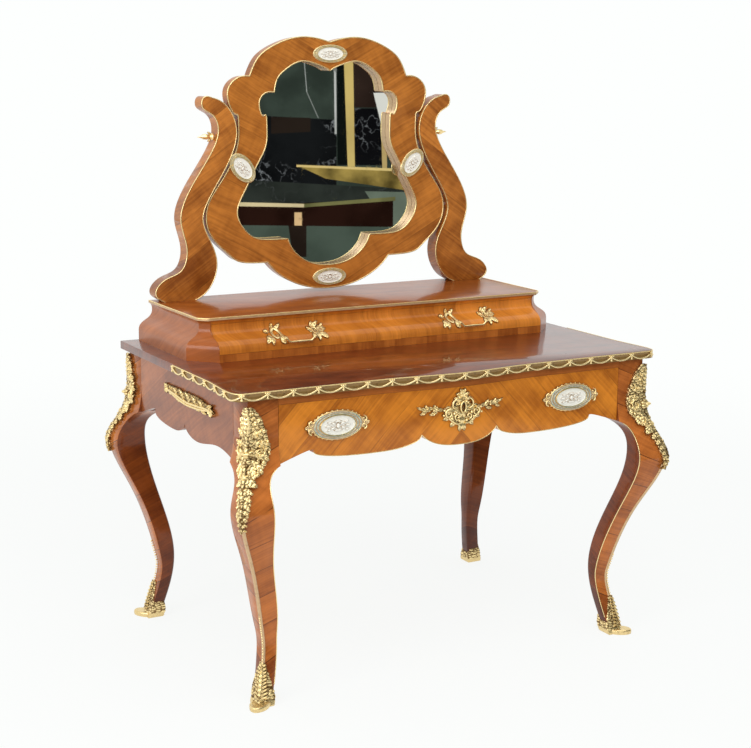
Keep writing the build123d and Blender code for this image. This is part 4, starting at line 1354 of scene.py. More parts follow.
@dataclass
class Leg:
    """Cabriole leg with its corner mount, shoe and bead string."""

    kit: Kit
    row: Row
    side: Side
    edge: float = 0.0016
    rounding: float = 0.006
    bead_radius: float = 0.0021
    bead_spacing: float = 0.0062
    bead_range: Spot = (0.098, 0.205)
    bead_rise: float = 0.0022
    line_radius: float = 0.0011
    line_range: Spot = (0.05, 0.562)
    strip_range: Spot = (0.06, 0.462)
    strip_radius: float = 0.0046
    strip_sink: float = 0.0028
    strip_step: float = 0.006
    front_flank: float = 0.68

    def __post_init__(self) -> None:
        """Find the outer arris."""
        self.tag = f"{self.row.label}_{self.side.label}"
        outer, end = (self.side.value, 0, 0), (0, self.row.value, 0)
        points = sharp_paths(self.kit.nodes[f"leg_{self.tag}"], lambda middle, normals: (
            facing(normals, outer, 0.6) and facing(normals, end, 0.6)))[0][0]
        self.line = np.array([tuple(point) for point in sorted(points, key=lambda point: point.z)])
        self.flank = self.front_flank if self.row is Row.FRONT else 1.0

    def arris(self, height: float) -> Spot:
        """Where the outer arris is at a height."""
        x, y = (float(np.interp(height, self.line[:, 2], self.line[:, axis])) for axis in (0, 1))
        return x, y

    def place(self, a: float, b: float, height: float, flank: float = 1.0) -> Vector:
        """Point on or over the surface around the outer corner.

        Args:
            a: Distance from the arris, positive on the front or back face and negative on the outer side.
            b: Height above the floor.
            height: Rise over the surface.
            flank: Factor on distances over the outer side.

        Returns:
            The point.
        """
        x, y = self.arris(b)
        turn = math.radians(90 * min(1.0, max(0.0, (a / self.rounding + 1) / 2)))
        x += self.side.value * (height * math.cos(turn) - max(a, 0.0))
        y += self.row.value * (height * math.sin(turn) - flank * max(-a, 0.0))
        return Vector((x, y, b))

    def slim_flank(self, obj: bpy.types.Object) -> bpy.types.Object:
        """Draw the part of the corner mount over the outer side in towards the arris.

        Args:
            obj: The corner mount.

        Returns:
            The same object.
        """
        for vertex in obj.data.vertices:
            behind = self.row.value * (self.arris(vertex.co.z)[1] - vertex.co.y)
            if behind > 0:
                vertex.co.y += self.row.value * behind * (1 - self.flank)
        return obj

    def build(self) -> None:
        """Build the leg and all that sits on it."""
        kit, tag = self.kit, self.tag
        kit.soften(f"leg_{tag}", "veneer_leg", self.edge)
        seed = 11 + 2 * self.row.value + self.side.value
        skin = Chasing(0.0095, 0.0036, (1.2, 1.2, 0.8), seed, voxel=0.0014)
        kit.add(self.slim_flank(kit.chased(f"chute_{tag}", skin)), replaces=f"chute_{tag}")
        kit.carve(self.chute_leaves(), f"chute_{tag}_leaves")
        skin = Chasing(0.0095, 0.003, (1.3, 1.3, 0.7), seed + 20, quiet=0.013)
        kit.add(kit.chased(f"sabot_{tag}", skin, floor=0.0), replaces=f"sabot_{tag}")
        kit.carve(self.sabot_leaves(), f"sabot_{tag}_leaves")
        points = [self.place(0, float(z), self.bead_rise) for z in np.linspace(*self.bead_range, 24)]
        values = {"Radius": self.bead_radius, "Spacing": self.bead_spacing, "Material": kit.finishes["gilt_swag"]}
        kit.add(kit.repeats.grow(kit.repeats.beads, path_object(f"bead_string_{tag}", points), values))
        if self.row is Row.FRONT:
            self.outer_strip()
            self.inner_line()

    def outer_strip(self) -> None:
        """Worn gilt strip along the outer arris, from the corner mount to the shoe."""
        points = [self.place(0, float(z), -self.strip_sink) for z in np.linspace(*self.strip_range, 60)]
        base = path_object(f"leg_{self.tag}_strip", points)
        self.kit.add(self.kit.drawn(base, self.strip_radius, self.strip_step, "gilt_worn"))

    def inner_line(self) -> None:
        """Thin brass line along the inner edge of the front face."""
        ahead, inward = (0, self.row.value, 0), (-self.side.value, 0, 0)
        low, high = self.line_range
        paths = sharp_paths(self.kit.nodes[f"leg_{self.tag}"], lambda middle, normals: (
            low < middle.z < high and facing(normals, ahead, 0.6) and facing(normals, inward, 0.5)), 0.2)
        self.kit.beading(f"leg_{self.tag}_edges", "table", paths, self.line_radius)

    def chute_leaves(self) -> Carving:
        """Foliage of a corner mount: husk above, flower and leaves in the middle, trailing leaves below.

        Returns:
            The foliage.
        """
        carving = Carving(lambda a, b, height: self.place(a, b, height, self.flank))
        for sign in (1, -1):
            for step in range(5):
                spot = (sign * 0.001, (0.700 - 0.011 * step) - 0.012)
                carving.leaf(spot, 90 - sign * (58 + 4 * step), 0.013 + 0.0045 * step, 0.0052, 0.0045, lift=0.0070)
            for angle, z, length in ((64, 0.640, 0.040), (84, 0.622, 0.047), (104, 0.604, 0.050), (126, 0.590, 0.046),
                                     (150, 0.582, 0.036)):
                carving.leaf((sign * 0.006, z), 90 - sign * angle, length, 0.0105, 0.0062, -0.14 * sign, 4, 0.0066)
            for angle, z, length in ((60, 0.662, 0.033), (118, 0.566, 0.030), (142, 0.556, 0.034)):
                carving.leaf((sign * 0.004, z), 90 - sign * angle, length, 0.0085, 0.0052, 0.2 * sign, lift=0.0066)
            spots = ((30, 628, 5.2), (40, 612, 4.6), (26, 598, 5.6), (44, 628, 3.8), (36, 584, 4.4), (20, 648, 4.6),
                     (14, 668, 4.0), (48, 604, 3.6), (18, 572, 4.0), (30, 656, 3.4), (24, 560, 3.2))
            carving.bosses(spots, sign, 0.0058, 0.0074)
            carving.stem(scaled_mm(volute((26, 606), 14, 1.3, 100, -1), sign), (0.0028, 0.0016), 0.006, 0.0076)
            for step in range(8):
                carving.leaf((sign * 0.0015, 0.548 - 0.0140 * step), -90 + sign * (50 - 3 * step),
                             0.0265 - 0.0026 * step, 0.0064 - 0.0004 * step, 0.0046, 0.2 * sign, lift=0.0066)
        for z, radius, rise, petals, lift in ((0.606, 0.0125, 0.009, 6, 0.0076), (0.606, 0.0052, 0.0125, 0, 0.0100),
                                              (0.557, 0.0075, 0.007, 5, 0.0070)):
            carving.boss((0.0, z), radius, rise, petals, lift)
        carving.leaf((0.0, 0.64), 90, 0.06, 0.009, 0.006, lobes=6, lift=0.0076)
        return carving

    def sabot_leaves(self) -> Carving:
        """Ribbed leaf with a fringe that climbs the arris above a shoe.

        Returns:
            The leaf.
        """
        carving = Carving(self.place)
        for sign in (1, -1):
            for step in range(10):
                carving.leaf((sign * 0.0004, 0.020 + 0.0078 * step), 90 - sign * (78 - 2 * step),
                             0.0205 - 0.0014 * step, 0.0036, 0.0046, 0.12 * sign, 2, 0.0034)
        carving.leaf((0.0, 0.018), 90, 0.08, 0.0036, 0.0066, lobes=8, lift=0.0044)
        return carving


@dataclass
class TableTop:
    """Top, its gilt rim and the aprons below it."""

    kit: Kit
    edge: float = 0.0012
    upper: float = 0.740
    rim_end: float = 0.0
    rim_step: float = 0.004
    crest_offset: Spot = (0.0031, -0.0012)
    cord_offset: Spot = (0.0034, -0.0052)
    crest_radius: float = 0.0013
    swag_period: float = 0.063
    swag_sag: float = 0.0118
    cord: float = 0.0021
    apron_face: float = 0.543
    channel: tuple[Spot, ...] = (
        (-0.0006, -0.0004), (0.0031, -0.0004), (0.0035, -0.0022), (0.0021, -0.0040), (0.0016, -0.0090),
        (0.0019, -0.0145), (0.0034, -0.0165), (0.0034, -0.0186), (-0.0006, -0.0186))

    def build(self) -> None:
        """Build the top and what hangs under it."""
        kit = self.kit
        kit.soften("table_top", "veneer_top", self.edge)
        kit.dress("veneer_side", "apron_right", "apron_left", "apron_back")
        kit.dress("veneer_rail", "front_top_rail")
        kit.dress("oak_lining", "drawer_runner_right", "drawer_runner_left")
        self.build_rim()
        for side in Side:
            self.side_mount(side)

    def rim_path(self) -> list[Vector]:
        """Follow the upper edge of the top from the left side round the front to the right side.

        Returns:
            Points along it.
        """
        points = sharp_paths(self.kit.nodes["table_top"], lambda middle, normals: middle.z > self.upper - 0.0005)[0][0]
        if points[0].x > 0:
            points = points[::-1]
        start = next(i for i, point in enumerate(points) if point.y > self.rim_end + 0.05)
        front = [point for point in points[start:] + points[:start] if point.y <= self.rim_end + 1e-6]
        if front[0].x > front[-1].x:
            front = front[::-1]
        first, last = (Vector((front[i].x, self.rim_end, self.upper)) for i in (0, -1))
        return resampled([first, *front, last], self.rim_step)

    def build_rim(self) -> None:
        """Dark channel, bright cord line and garland around the front half of the top."""
        kit, points = self.kit, self.rim_path()
        edge, up = list(zip(points, self.outward(points))), Vector((0, 0, 1))
        rows = [[point + out * a + up * b for a, b in self.channel] for point, out in edge]
        channel = tidy_mesh(lofted("rim_channel", rows, (0, len(rows) - 1)))
        kit.add(finished(channel, kit.finishes["gilt_channel"], DRAWN), replaces="top_edge_moulding")
        crest, line = ([point + out * a + up * b for point, out in edge]
                       for a, b in (self.crest_offset, self.cord_offset))
        kit.beading("rim_crest", "table", [(crest, False)], self.crest_radius)
        length, drop = path_length(line), self.husk_drop()
        swags = int(round(length / self.swag_period))
        values = {"Swags": swags, "Period": length / swags, "Sag": self.swag_sag, "Cord": self.cord, "Drop": drop,
                  "Material": kit.finishes["gilt_swag"]}
        kit.add(kit.repeats.grow(kit.repeats.swags, path_object("rim_garland", line), values))
        bpy.data.objects.remove(drop)

    @staticmethod
    def outward(points: list[Vector]) -> list[Vector]:
        """Level directions that point away from the top at each point of its edge.

        Args:
            points: The points.

        Returns:
            The directions.
        """
        result = []
        for i, point in enumerate(points):
            ahead = points[min(i + 1, len(points) - 1)] - points[max(i - 1, 0)]
            out = Vector((ahead.y, -ahead.x, 0)).normalized()
            result.append(out if out.dot(Vector((point.x, point.y - 0.35, 0))) > 0 else -out)
        return result

    @staticmethod
    def husk_drop() -> bpy.types.Object:
        """Knot with two loops and a hanging husk, made once for the garland.

        Returns:
            The object.
        """
        shape, mesh = bmesh.new(), bpy.data.meshes.new("husk_drop")
        for x, z, *size in ((0.0, 0.0, 0.0038, 0.0028, 0.0032), (-0.0046, 0.0010, 0.0034, 0.0022, 0.0019),
                            (0.0046, 0.0010, 0.0034, 0.0022, 0.0019), (0.0, -0.0050, 0.0024, 0.0022, 0.0036),
                            (0.0, -0.0096, 0.0034, 0.0024, 0.0026)):
            matrix = Matrix.Translation((x, 0, z)) @ Matrix.Diagonal((*size, 1.0))
            bmesh.ops.create_icosphere(shape, subdivisions=2, radius=1.0, matrix=matrix)
        close(shape, mesh)
        return link("husk_drop", mesh)

    def side_mount(self, side: Side) -> None:
        """Leafy scroll mount on the middle of a side apron.

        Args:
            side: Side of the table.
        """
        kit, name = self.kit, f"side_mount_{side.label}"
        low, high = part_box(name)
        skin = Chasing(0.009, 0.0024, (1, 1.8, 0.9), 41)
        # the backing gets the darker gilding: painted shade between the leaves
        kit.add(kit.chased(name, skin, "gilt_backing"), replaces=name)
        carving = Carving(lambda a, b, height: Vector((side.value * (self.apron_face + height), a, b)))
        y, z = (low.y + high.y) / 2, (low.z + high.z) / 2
        knot = (high.y - 0.030, z + 0.002)
        for angle, length, bend in ((28, 0.030, -0.2), (-24, 0.028, 0.2), (152, 0.030, 0.3), (206, 0.030, -0.3),
                                    (4, 0.026, 0.0)):
            carving.leaf(knot, angle, length, 0.0080, 0.0060, bend, lift=0.003)
        for step in range(5):
            spot = y + 0.062 - 0.037 * step
            carving.leaf((spot, z - 0.011), 64, 0.040 - 0.004 * abs(step - 1.5), 0.0092, 0.0070, -0.42, 5, 0.003)
            carving.leaf((spot + 0.016, z - 0.007), 196, 0.040, 0.0052, 0.0052, -0.1, 4, 0.004)
        for lift, shift in ((0.0040, 0.0), (0.0052, 0.0065)):
            spine = [(knot[0], z + 0.002), (y + 0.070, z - 0.008 + shift), (y + 0.010, z - 0.014 + shift),
                     (y - 0.060, z - 0.011 + shift), (low.y + 0.030, z - 0.004 + shift / 2), (low.y + 0.004, z - 0.009)]
            carving.stem(spine, (0.0042, 0.0030), 0.0062, lift)
        for angle, length in ((150, 0.030), (176, 0.036), (204, 0.030)):
            carving.leaf((low.y + 0.040, z), angle, length, 0.0062, 0.0058, 0.15, lift=0.004)
        carving.boss(knot, 0.0065, 0.0085, 5, 0.004)
        kit.carve(carving, f"{name}_leaves")


def front_place(node: bpy.types.Object, fallback: float) -> Place:
    """Surface coordinates on the front of a node, seen from the front.

    Args:
        node: The node.
        fallback: Depth used beside the node.

    Returns:
        Place from (x, z, rise).
    """
    shape = opened(node.data, WELD)
    tree = BVHTree.FromBMesh(shape)
    shape.free()

    def place(a: float, b: float, height: float) -> Vector:
        """Point in space."""
        hit = tree.ray_cast(Vector((a, -2.0, b)), Vector((0, 1, 0)))[0]
        return Vector((a, (hit.y if hit else fallback) - height, b))

    return place


@dataclass
class MainDrawer:
    """Frieze drawer with its escutcheon and two oval medallions."""

    kit: Kit
    body: str = "main_drawer"
    face: float = -0.358
    keyhole: float = 0.659
    bead_radius: float = 0.0011
    medallion: Spot = (0.322, 0.644)
    plaque_depth: float = 0.0085
    plaque_radii: Spot = (0.0625, 0.0315)
    frame_radii: Spot = (0.0635, 0.0325)

    def build(self) -> None:
        """Build the drawer."""
        kit = self.kit
        kit.dress("veneer_drawer", "drawer_front")
        kit.dress("oak_lining", "drawer_back", "drawer_bottom", "drawer_side_right", "drawer_side_left")
        kit.dress("lock_iron", "drawer_lock")
        place = front_place(kit.nodes["drawer_front"], self.face)
        self.escutcheon(place)
        for side in Side:
            self.build_medallion(place, side)
        paths = sharp_paths(kit.nodes["drawer_front"], lambda middle, normals: (
            facing(normals, (0, -1, 0), 0.8) and facing(normals, (0, 0, -1), 0.3) and middle.z < 0.61), 0.1)
        kit.beading("drawer_lower_bead", self.body, paths, self.bead_radius)

    def escutcheon(self, place: Place) -> None:
        """Cartouche of scrolls and leaves around the keyhole.

        Args:
            place: Surface coordinates on the front.
        """
        carving, z0 = Carving(place), self.keyhole
        for sign in (1, -1):
            for angle, z, length, width in ((0, 0.657, 0.060, 0.014), (27, 0.657, 0.057, 0.013),
                                            (54, 0.656, 0.058, 0.013), (80, 0.655, 0.057, 0.0115)):
                carving.leaf((0.0, z), -90 + sign * angle, length, width, 0.005, 0.12 * sign, 4, 0.001)
            for angle, z, length, width in ((0, 0.674, 0.026, 0.0085), (32, 0.673, 0.024, 0.008),
                                            (64, 0.671, 0.026, 0.008), (92, 0.668, 0.022, 0.007)):
                carving.leaf((0.0, z), 90 - sign * angle, length, width, 0.0062, -0.25 * sign, lift=0.002)
            for a, z, angle, length, width in (
                    (0.050, 0.653, 88, 0.042, 0.0064), (0.060, 0.651, 58, 0.022, 0.0056),
                    (0.066, 0.650, 118, 0.022, 0.0056), (0.082, 0.654, 86, 0.038, 0.0058),
                    (0.086, 0.654, 54, 0.018, 0.0048), (0.094, 0.652, 120, 0.018, 0.0048)):
                carving.leaf((sign * a, z), 90 - sign * angle, length, width, 0.0048, 0.2 * sign, lift=0.001)
            for line, radii, rise, lift in (
                    ([(8, 673), (19, 676), (27, 668), (27, 657), (18, 652)], (0.0038, 0.002), 0.006, 0.004),
                    (volute((37, 643), 11, 1.4, 100, -1), (0.0038, 0.0018), 0.006, 0.004),
                    ([(6, 618), (18, 618), (29, 625), (38, 633)], (0.0028, 0.0038), 0.005, 0.004),
                    (volute((16, 634), 8, 1.2, 250, 1), (0.003, 0.0016), 0.006, 0.005)):
                carving.stem(scaled_mm(line, sign), radii, rise, lift)
            spots = ((24, 642, 4.2), (30, 631, 4.0), (10, 624, 3.8), (50, 652, 3.8), (78, 654, 3.0), (52, 640, 3.2))
            carving.bosses(spots, sign, 0.006, 0.004)
        ring = [on_oval((0, z0 / MM - 3), 7, 13, math.radians(angle)) for angle in range(0, 361, 30)]
        carving.stem(scaled_mm(ring), (0.0026, 0.0026), 0.006, 0.004)
        self.kit.carve(carving, "escutcheon_leaves", self.body, "drawer_escutcheon")
        slot = Carving(place)
        slot.boss((0.0, z0 + 0.004), 0.0042, 0.0095)
        slot.stem([(0.0, z0 + 0.002), (0.0, z0 - 0.010)], (0.0022, 0.0026), 0.009)
        self.kit.carve(slot, "keyhole_shadow", self.body, metal="lock_iron")

    def build_medallion(self, place: Place, side: Side) -> None:
        """Oval porcelain plaque in a scrolled frame.

        Args:
            place: Surface coordinates on the front.
            side: Side of the drawer.
        """
        kit, label = self.kit, side.label
        x, z = side.value * self.medallion[0], self.medallion[1]
        plaque = Oval((x, self.face, z), self.plaque_radii, self.plaque_depth, inner=0.7)
        kit.add(plaque.build(f"medallion_plaque_{label}_relief", kit.finishes["plaque_porcelain"]), self.body,
                f"medallion_plaque_{label}", "porcelain")
        carving = Carving(place)
        wide, tall = self.frame_radii
        for shrink, radius, rise in ((1.0, 0.0022, 0.0055), (0.71, 0.0011, 0.0082)):
            ring = [on_oval((x, z), shrink * wide, shrink * tall, t) for t in np.linspace(0, TURN, 33)]
            carving.stem(ring, (radius, radius), rise)
        for end in (1, -1):
            tip = x + end * 0.055
            for lift in (1, -1):
                spiral = volute(((tip + end * 0.012) / MM, z / MM + lift * 8), 7.5, 1.2, 90 * lift, -lift * end)
                carving.stem(scaled_mm(spiral), (0.0026, 0.0014), 0.0062, 0.002)
            carving.leaf((tip + end * 0.006, z), 90 - end * 90, 0.022, 0.008, 0.006, lobes=4, lift=0.002)
            for angle in range(18, 180, 12):
                carving.boss(on_oval((x, z), 1.02 * wide, 1.02 * tall, math.radians(angle * end)), 0.0030, 0.0042)
        kit.carve(carving, f"medallion_{label}_scrolls", self.body)
        kit.dress("gilt_worn", f"medallion_frame_{label}")


@dataclass
class UpperCase:
    """Ogee-sided case with two small drawers and their bail handles."""

    kit: Kit
    edge: float = 0.0008
    handle_x: float = 0.249
    leaf_z: float = 0.794
    leaf_spread: float = 0.056
    post_spread: float = 0.0445
    bail_axis: Spot = (-0.036, 0.785)
    bail_drop: float = 0.009
    spokes: int = 12

    def build(self) -> None:
        """Build the case and its drawers."""
        kit = self.kit
        kit.soften("case_board", "veneer_board", self.edge)
        kit.dress("veneer_case", "case_rail", "case_divider")
        kit.dress("veneer_end", "case_end_right", "case_end_left")
        kit.dress("veneer_plinth", "case_plinth")
        kit.dress("oak_lining", "case_back", "case_floor")
        self.board_line()
        for side in Side:
            kit.dress("veneer_case", f"small_drawer_front_{side.label}")
            kit.dress("oak_lining", f"small_drawer_tray_{side.label}")
            self.handle(side)
            self.bail(side)

    def board_line(self) -> None:
        """Reeded brass along the front and side edges of the board."""
        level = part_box("case_board")[1].z - 0.0004
        points, closed = sharp_paths(self.kit.nodes["case_board"],
                                     lambda middle, normals: middle.z > level and middle.y < 0.33)[0]
        # the lower reeds are dimmer gilt: a painted dark reflection in the band under the board's edge
        for name, drops, radius, metal in (("line", (0.0006,), 0.0013, "gilt_drawn"),
                                           ("reeds", (0.0030, 0.0054), 0.0014, "gilt_worn")):
            self.kit.beading(f"case_board_{name}", "table", [(shifted(points, drop), closed) for drop in drops], radius,
                             metal)

    def handle(self, side: Side) -> None:
        """Leaf plates of one small drawer's handle.

        Args:
            side: Side of the case.
        """
        label = side.label
        carving = Carving(front_place(self.kit.nodes[f"small_drawer_front_{label}"], 0.0))
        middle, z = side.value * self.handle_x, self.leaf_z
        left, right = middle - self.leaf_spread, middle + self.leaf_spread
        carving.stem(scaled_mm(volute((left / MM + 2, z / MM - 1), 15, 1.15, -60)), (0.0054, 0.0026), 0.0066, 0.001)
        for dx, dz, angle, length, width in (
                (-12, -6, 196, 24, 5.5), (-10, -9, 232, 17, 5), (4, 12, 18, 22, 5.5), (-4, 13, 60, 14, 4.5),
                (8, -12, -62, 17, 5.5), (12, -10, -20, 15, 5), (-13, 4, 150, 14, 4.5)):
            carving.leaf((left + dx * MM, z + 0.75 * dz * MM), angle, 0.95 * length * MM, 1.3 * width * MM, 0.0056, 0.3,
                         lift=0.002)
        for dx, dz, angle, length, width in (
                (-2, 0, 16, 33, 6.5), (-4, 2, 58, 26, 6), (-4, 1, 104, 20, 5.5), (-6, 0, 168, 18, 5),
                (0, -2, -24, 28, 6), (-3, -2, -70, 21, 5.5), (-7, -3, -120, 17, 5), (16, 6, 50, 14, 4),
                (17, -5, -60, 14, 4)):
            carving.leaf((right + dx * MM, z + 0.8 * dz * MM), angle, 0.95 * length * MM, 1.25 * width * MM, 0.0058,
                         -0.2, lift=0.002)
        carving.stem(scaled_mm(volute((right / MM - 5, z / MM), 8, 1.2, 0)), (0.0028, 0.0016), 0.006, 0.004)
        for end in (1, -1):
            carving.boss((middle + end * self.post_spread, self.bail_axis[1]), 0.0055, 0.007, lift=0.001)
        self.kit.carve(carving, f"handle_plate_{label}_leaves", f"small_drawer_{label}", f"handle_plate_{label}")

    def bail(self, side: Side) -> None:
        """Turned bar of a bail, thick in its middle and collared at its ends.

        Args:
            side: Side of the case.
        """
        name, drop = f"bail_{side.label}", self.bail_drop
        right = [(0.0447, 0.0, 2.0), (0.0385, 0.0, 2.2), (0.0355, -0.0022, 2.8), (0.0325, -0.0065, 2.6),
                 (0.0285, -drop, 3.4), (0.0265, -drop, 2.5), (0.018, -drop, 2.7), (0.008, -drop, 3.0),
                 (0.0035, -drop, 3.4)]
        path = right + [(-a, b, radius) for a, b, radius in reversed(right)]
        loops = []
        for i, (a, b, radius) in enumerate(path):
            before, after = path[max(0, i - 1)], path[min(len(path) - 1, i + 1)]
            ahead = Vector((after[0] - before[0], 0, after[1] - before[1])).normalized()
            upright = Vector((-ahead.z, 0, ahead.x))
            centre = Vector((side.value * self.handle_x + a, self.bail_axis[0], self.bail_axis[1] + b))
            loops.append([centre + (Vector((0, 1, 0)) * math.cos(turn) + upright * math.sin(turn)) * radius * MM
                          for turn in (TURN * j / self.spokes for j in range(self.spokes))])
        bar = tidy_mesh(lofted(f"{name}_turned", loops, (0, len(loops) - 1)))
        add_modifier(bar, "SUBSURF", levels=2, render_levels=2)
        self.kit.add(finished(settle(bar), self.kit.finishes["gilt_drawn"], TURNED), name, name)


@dataclass
class ToiletMirror:
    """Scalloped frame with its glass, medals, standards and pivot screws."""

    kit: Kit
    edge: float = 0.0012
    pivot: Spot = (0.307, 1.250)
    face: float = 0.291
    medal_depth: float = 0.0058
    bezel_rise: float = 0.0016
    bead_radius: float = 0.0017
    standard_radius: float = 0.0014
    bezel_radius: float = 0.0015
    reveal_step: float = 0.003
    reveal: tuple[Spot, ...] = ((0.0008, 0.0), (0.0008, 0.0009), (0.0222, 0.0009), (0.0222, 0.0))
    spokes: int = 20
    screw: tuple[Spot, ...] = (
        (236, 0), (236, 4), (322, 4), (324, 8.4), (328, 8.8), (331, 5.2), (334, 4.2), (339, 6.2), (345, 7.4),
        (351, 6.4), (356, 3.6), (361, 2.0), (367.5, 0.6), (368, 0))

    def build(self) -> None:
        """Build the mirror."""
        kit = self.kit
        kit.dress("veneer_frame", "mirror_frame")
        kit.dress("silvered_glass", "mirror_glass")
        kit.dress("oak_lining", "mirror_backboard")
        paths = sharp_paths(kit.nodes["mirror_frame"], lambda middle, normals: middle.y < self.face + 0.0004)[:2]
        kit.beading("mirror_frame_beads", "mirror", paths, self.bead_radius)
        opening = paths[1][0]
        self.build_reveal(resampled([*opening, opening[0]], self.reveal_step)[:-1])
        self.medals()
        for side in Side:
            name = f"standard_{side.label}"
            kit.soften(name, "veneer_standard", self.edge)
            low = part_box(name)[0] + Vector((0, 0.0004, 0.0005))
            paths = sharp_paths(kit.nodes[name], lambda middle, normals: middle.y < low.y and middle.z > low.z)[:2]
            kit.beading(f"{name}_beads", "table", paths, self.standard_radius)
            self.finial(side)

    def build_reveal(self, points: list[Vector]) -> None:
        """Thin gilt lining of the opening, from its front edge back to the glass.

        Args:
            points: Closed chain along the front edge of the opening.
        """
        loops = []
        for i, point in enumerate(points):
            ahead = points[(i + 1) % len(points)] - points[i - 1]
            out = Vector((ahead.z, 0, -ahead.x)).normalized()
            inner = -out if out.dot(point - Vector((0, point.y, self.pivot[1] - 0.06))) > 0 else out
            loops.append([point + inner * shift + Vector((0, depth, 0)) for depth, shift in self.reveal])
        lining = tidy_mesh(lofted("mirror_reveal", loops, closed=True))
        self.kit.add(finished(lining, self.kit.finishes["gilt_worn"], DRAWN), "mirror")

    def medals(self) -> None:
        """Four oval medals with thin gilt bezels."""
        for label, x, dz, wide, tall, tilt in (("top", 0.0, 0.207, 49, 22, 0), ("bottom", 0.0, -0.373, 49, 22, 0),
                                               ("right", 0.251, -0.080, 43, 27, 48),
                                               ("left", -0.251, -0.080, 43, 27, -48)):
            oval = Oval((x, self.face, self.pivot[1] + dz), (wide * MM, tall * MM), self.medal_depth, tilt)
            relief = oval.build(f"medal_{label}_relief", self.kit.finishes["medal_porcelain"])
            self.kit.add(relief, "mirror", f"medal_{label}")
            ring = [oval.point((math.cos(t), math.sin(t)), self.bezel_rise) for t in np.linspace(0, TURN, 49)[:-1]]
            self.kit.beading(f"medal_{label}_bezel", "mirror", [(ring, True)], self.bezel_radius)

    def finial(self, side: Side) -> None:
        """Pivot screw with a turned bud and two leaf wings.

        Args:
            side: Side of the mirror.
        """
        kit, sign, name = self.kit, side.value, f"pivot_screw_{side.label}"
        y, z = self.pivot
        loops = []
        for x, radius in self.screw:
            loop = []
            for turn in (TURN * j / self.spokes for j in range(self.spokes)):
                reach = radius * (1 + (0.08 * math.cos(6 * turn) if 334 < x < 362 else 0)) * MM
                loop.append((sign * x * MM, *on_oval((y, z), reach, reach, turn)))
            loops.append(loop)
        screw = tidy_mesh(lofted(f"{name}_turned", loops), 1e-5)
        kit.add(finished(screw, kit.finishes["gilt_drawn"], DRAWN), name, name)
        carving = Carving(lambda a, b, height: Vector((sign * a, y - height, z + b)))
        for up in (1, -1):
            carving.leaf((0.331, up * 0.003), 62 * up, 0.0125, 0.0042, 0.0022, -0.3 * up, 2)
        kit.carve(carving, f"{name}_wings", name)


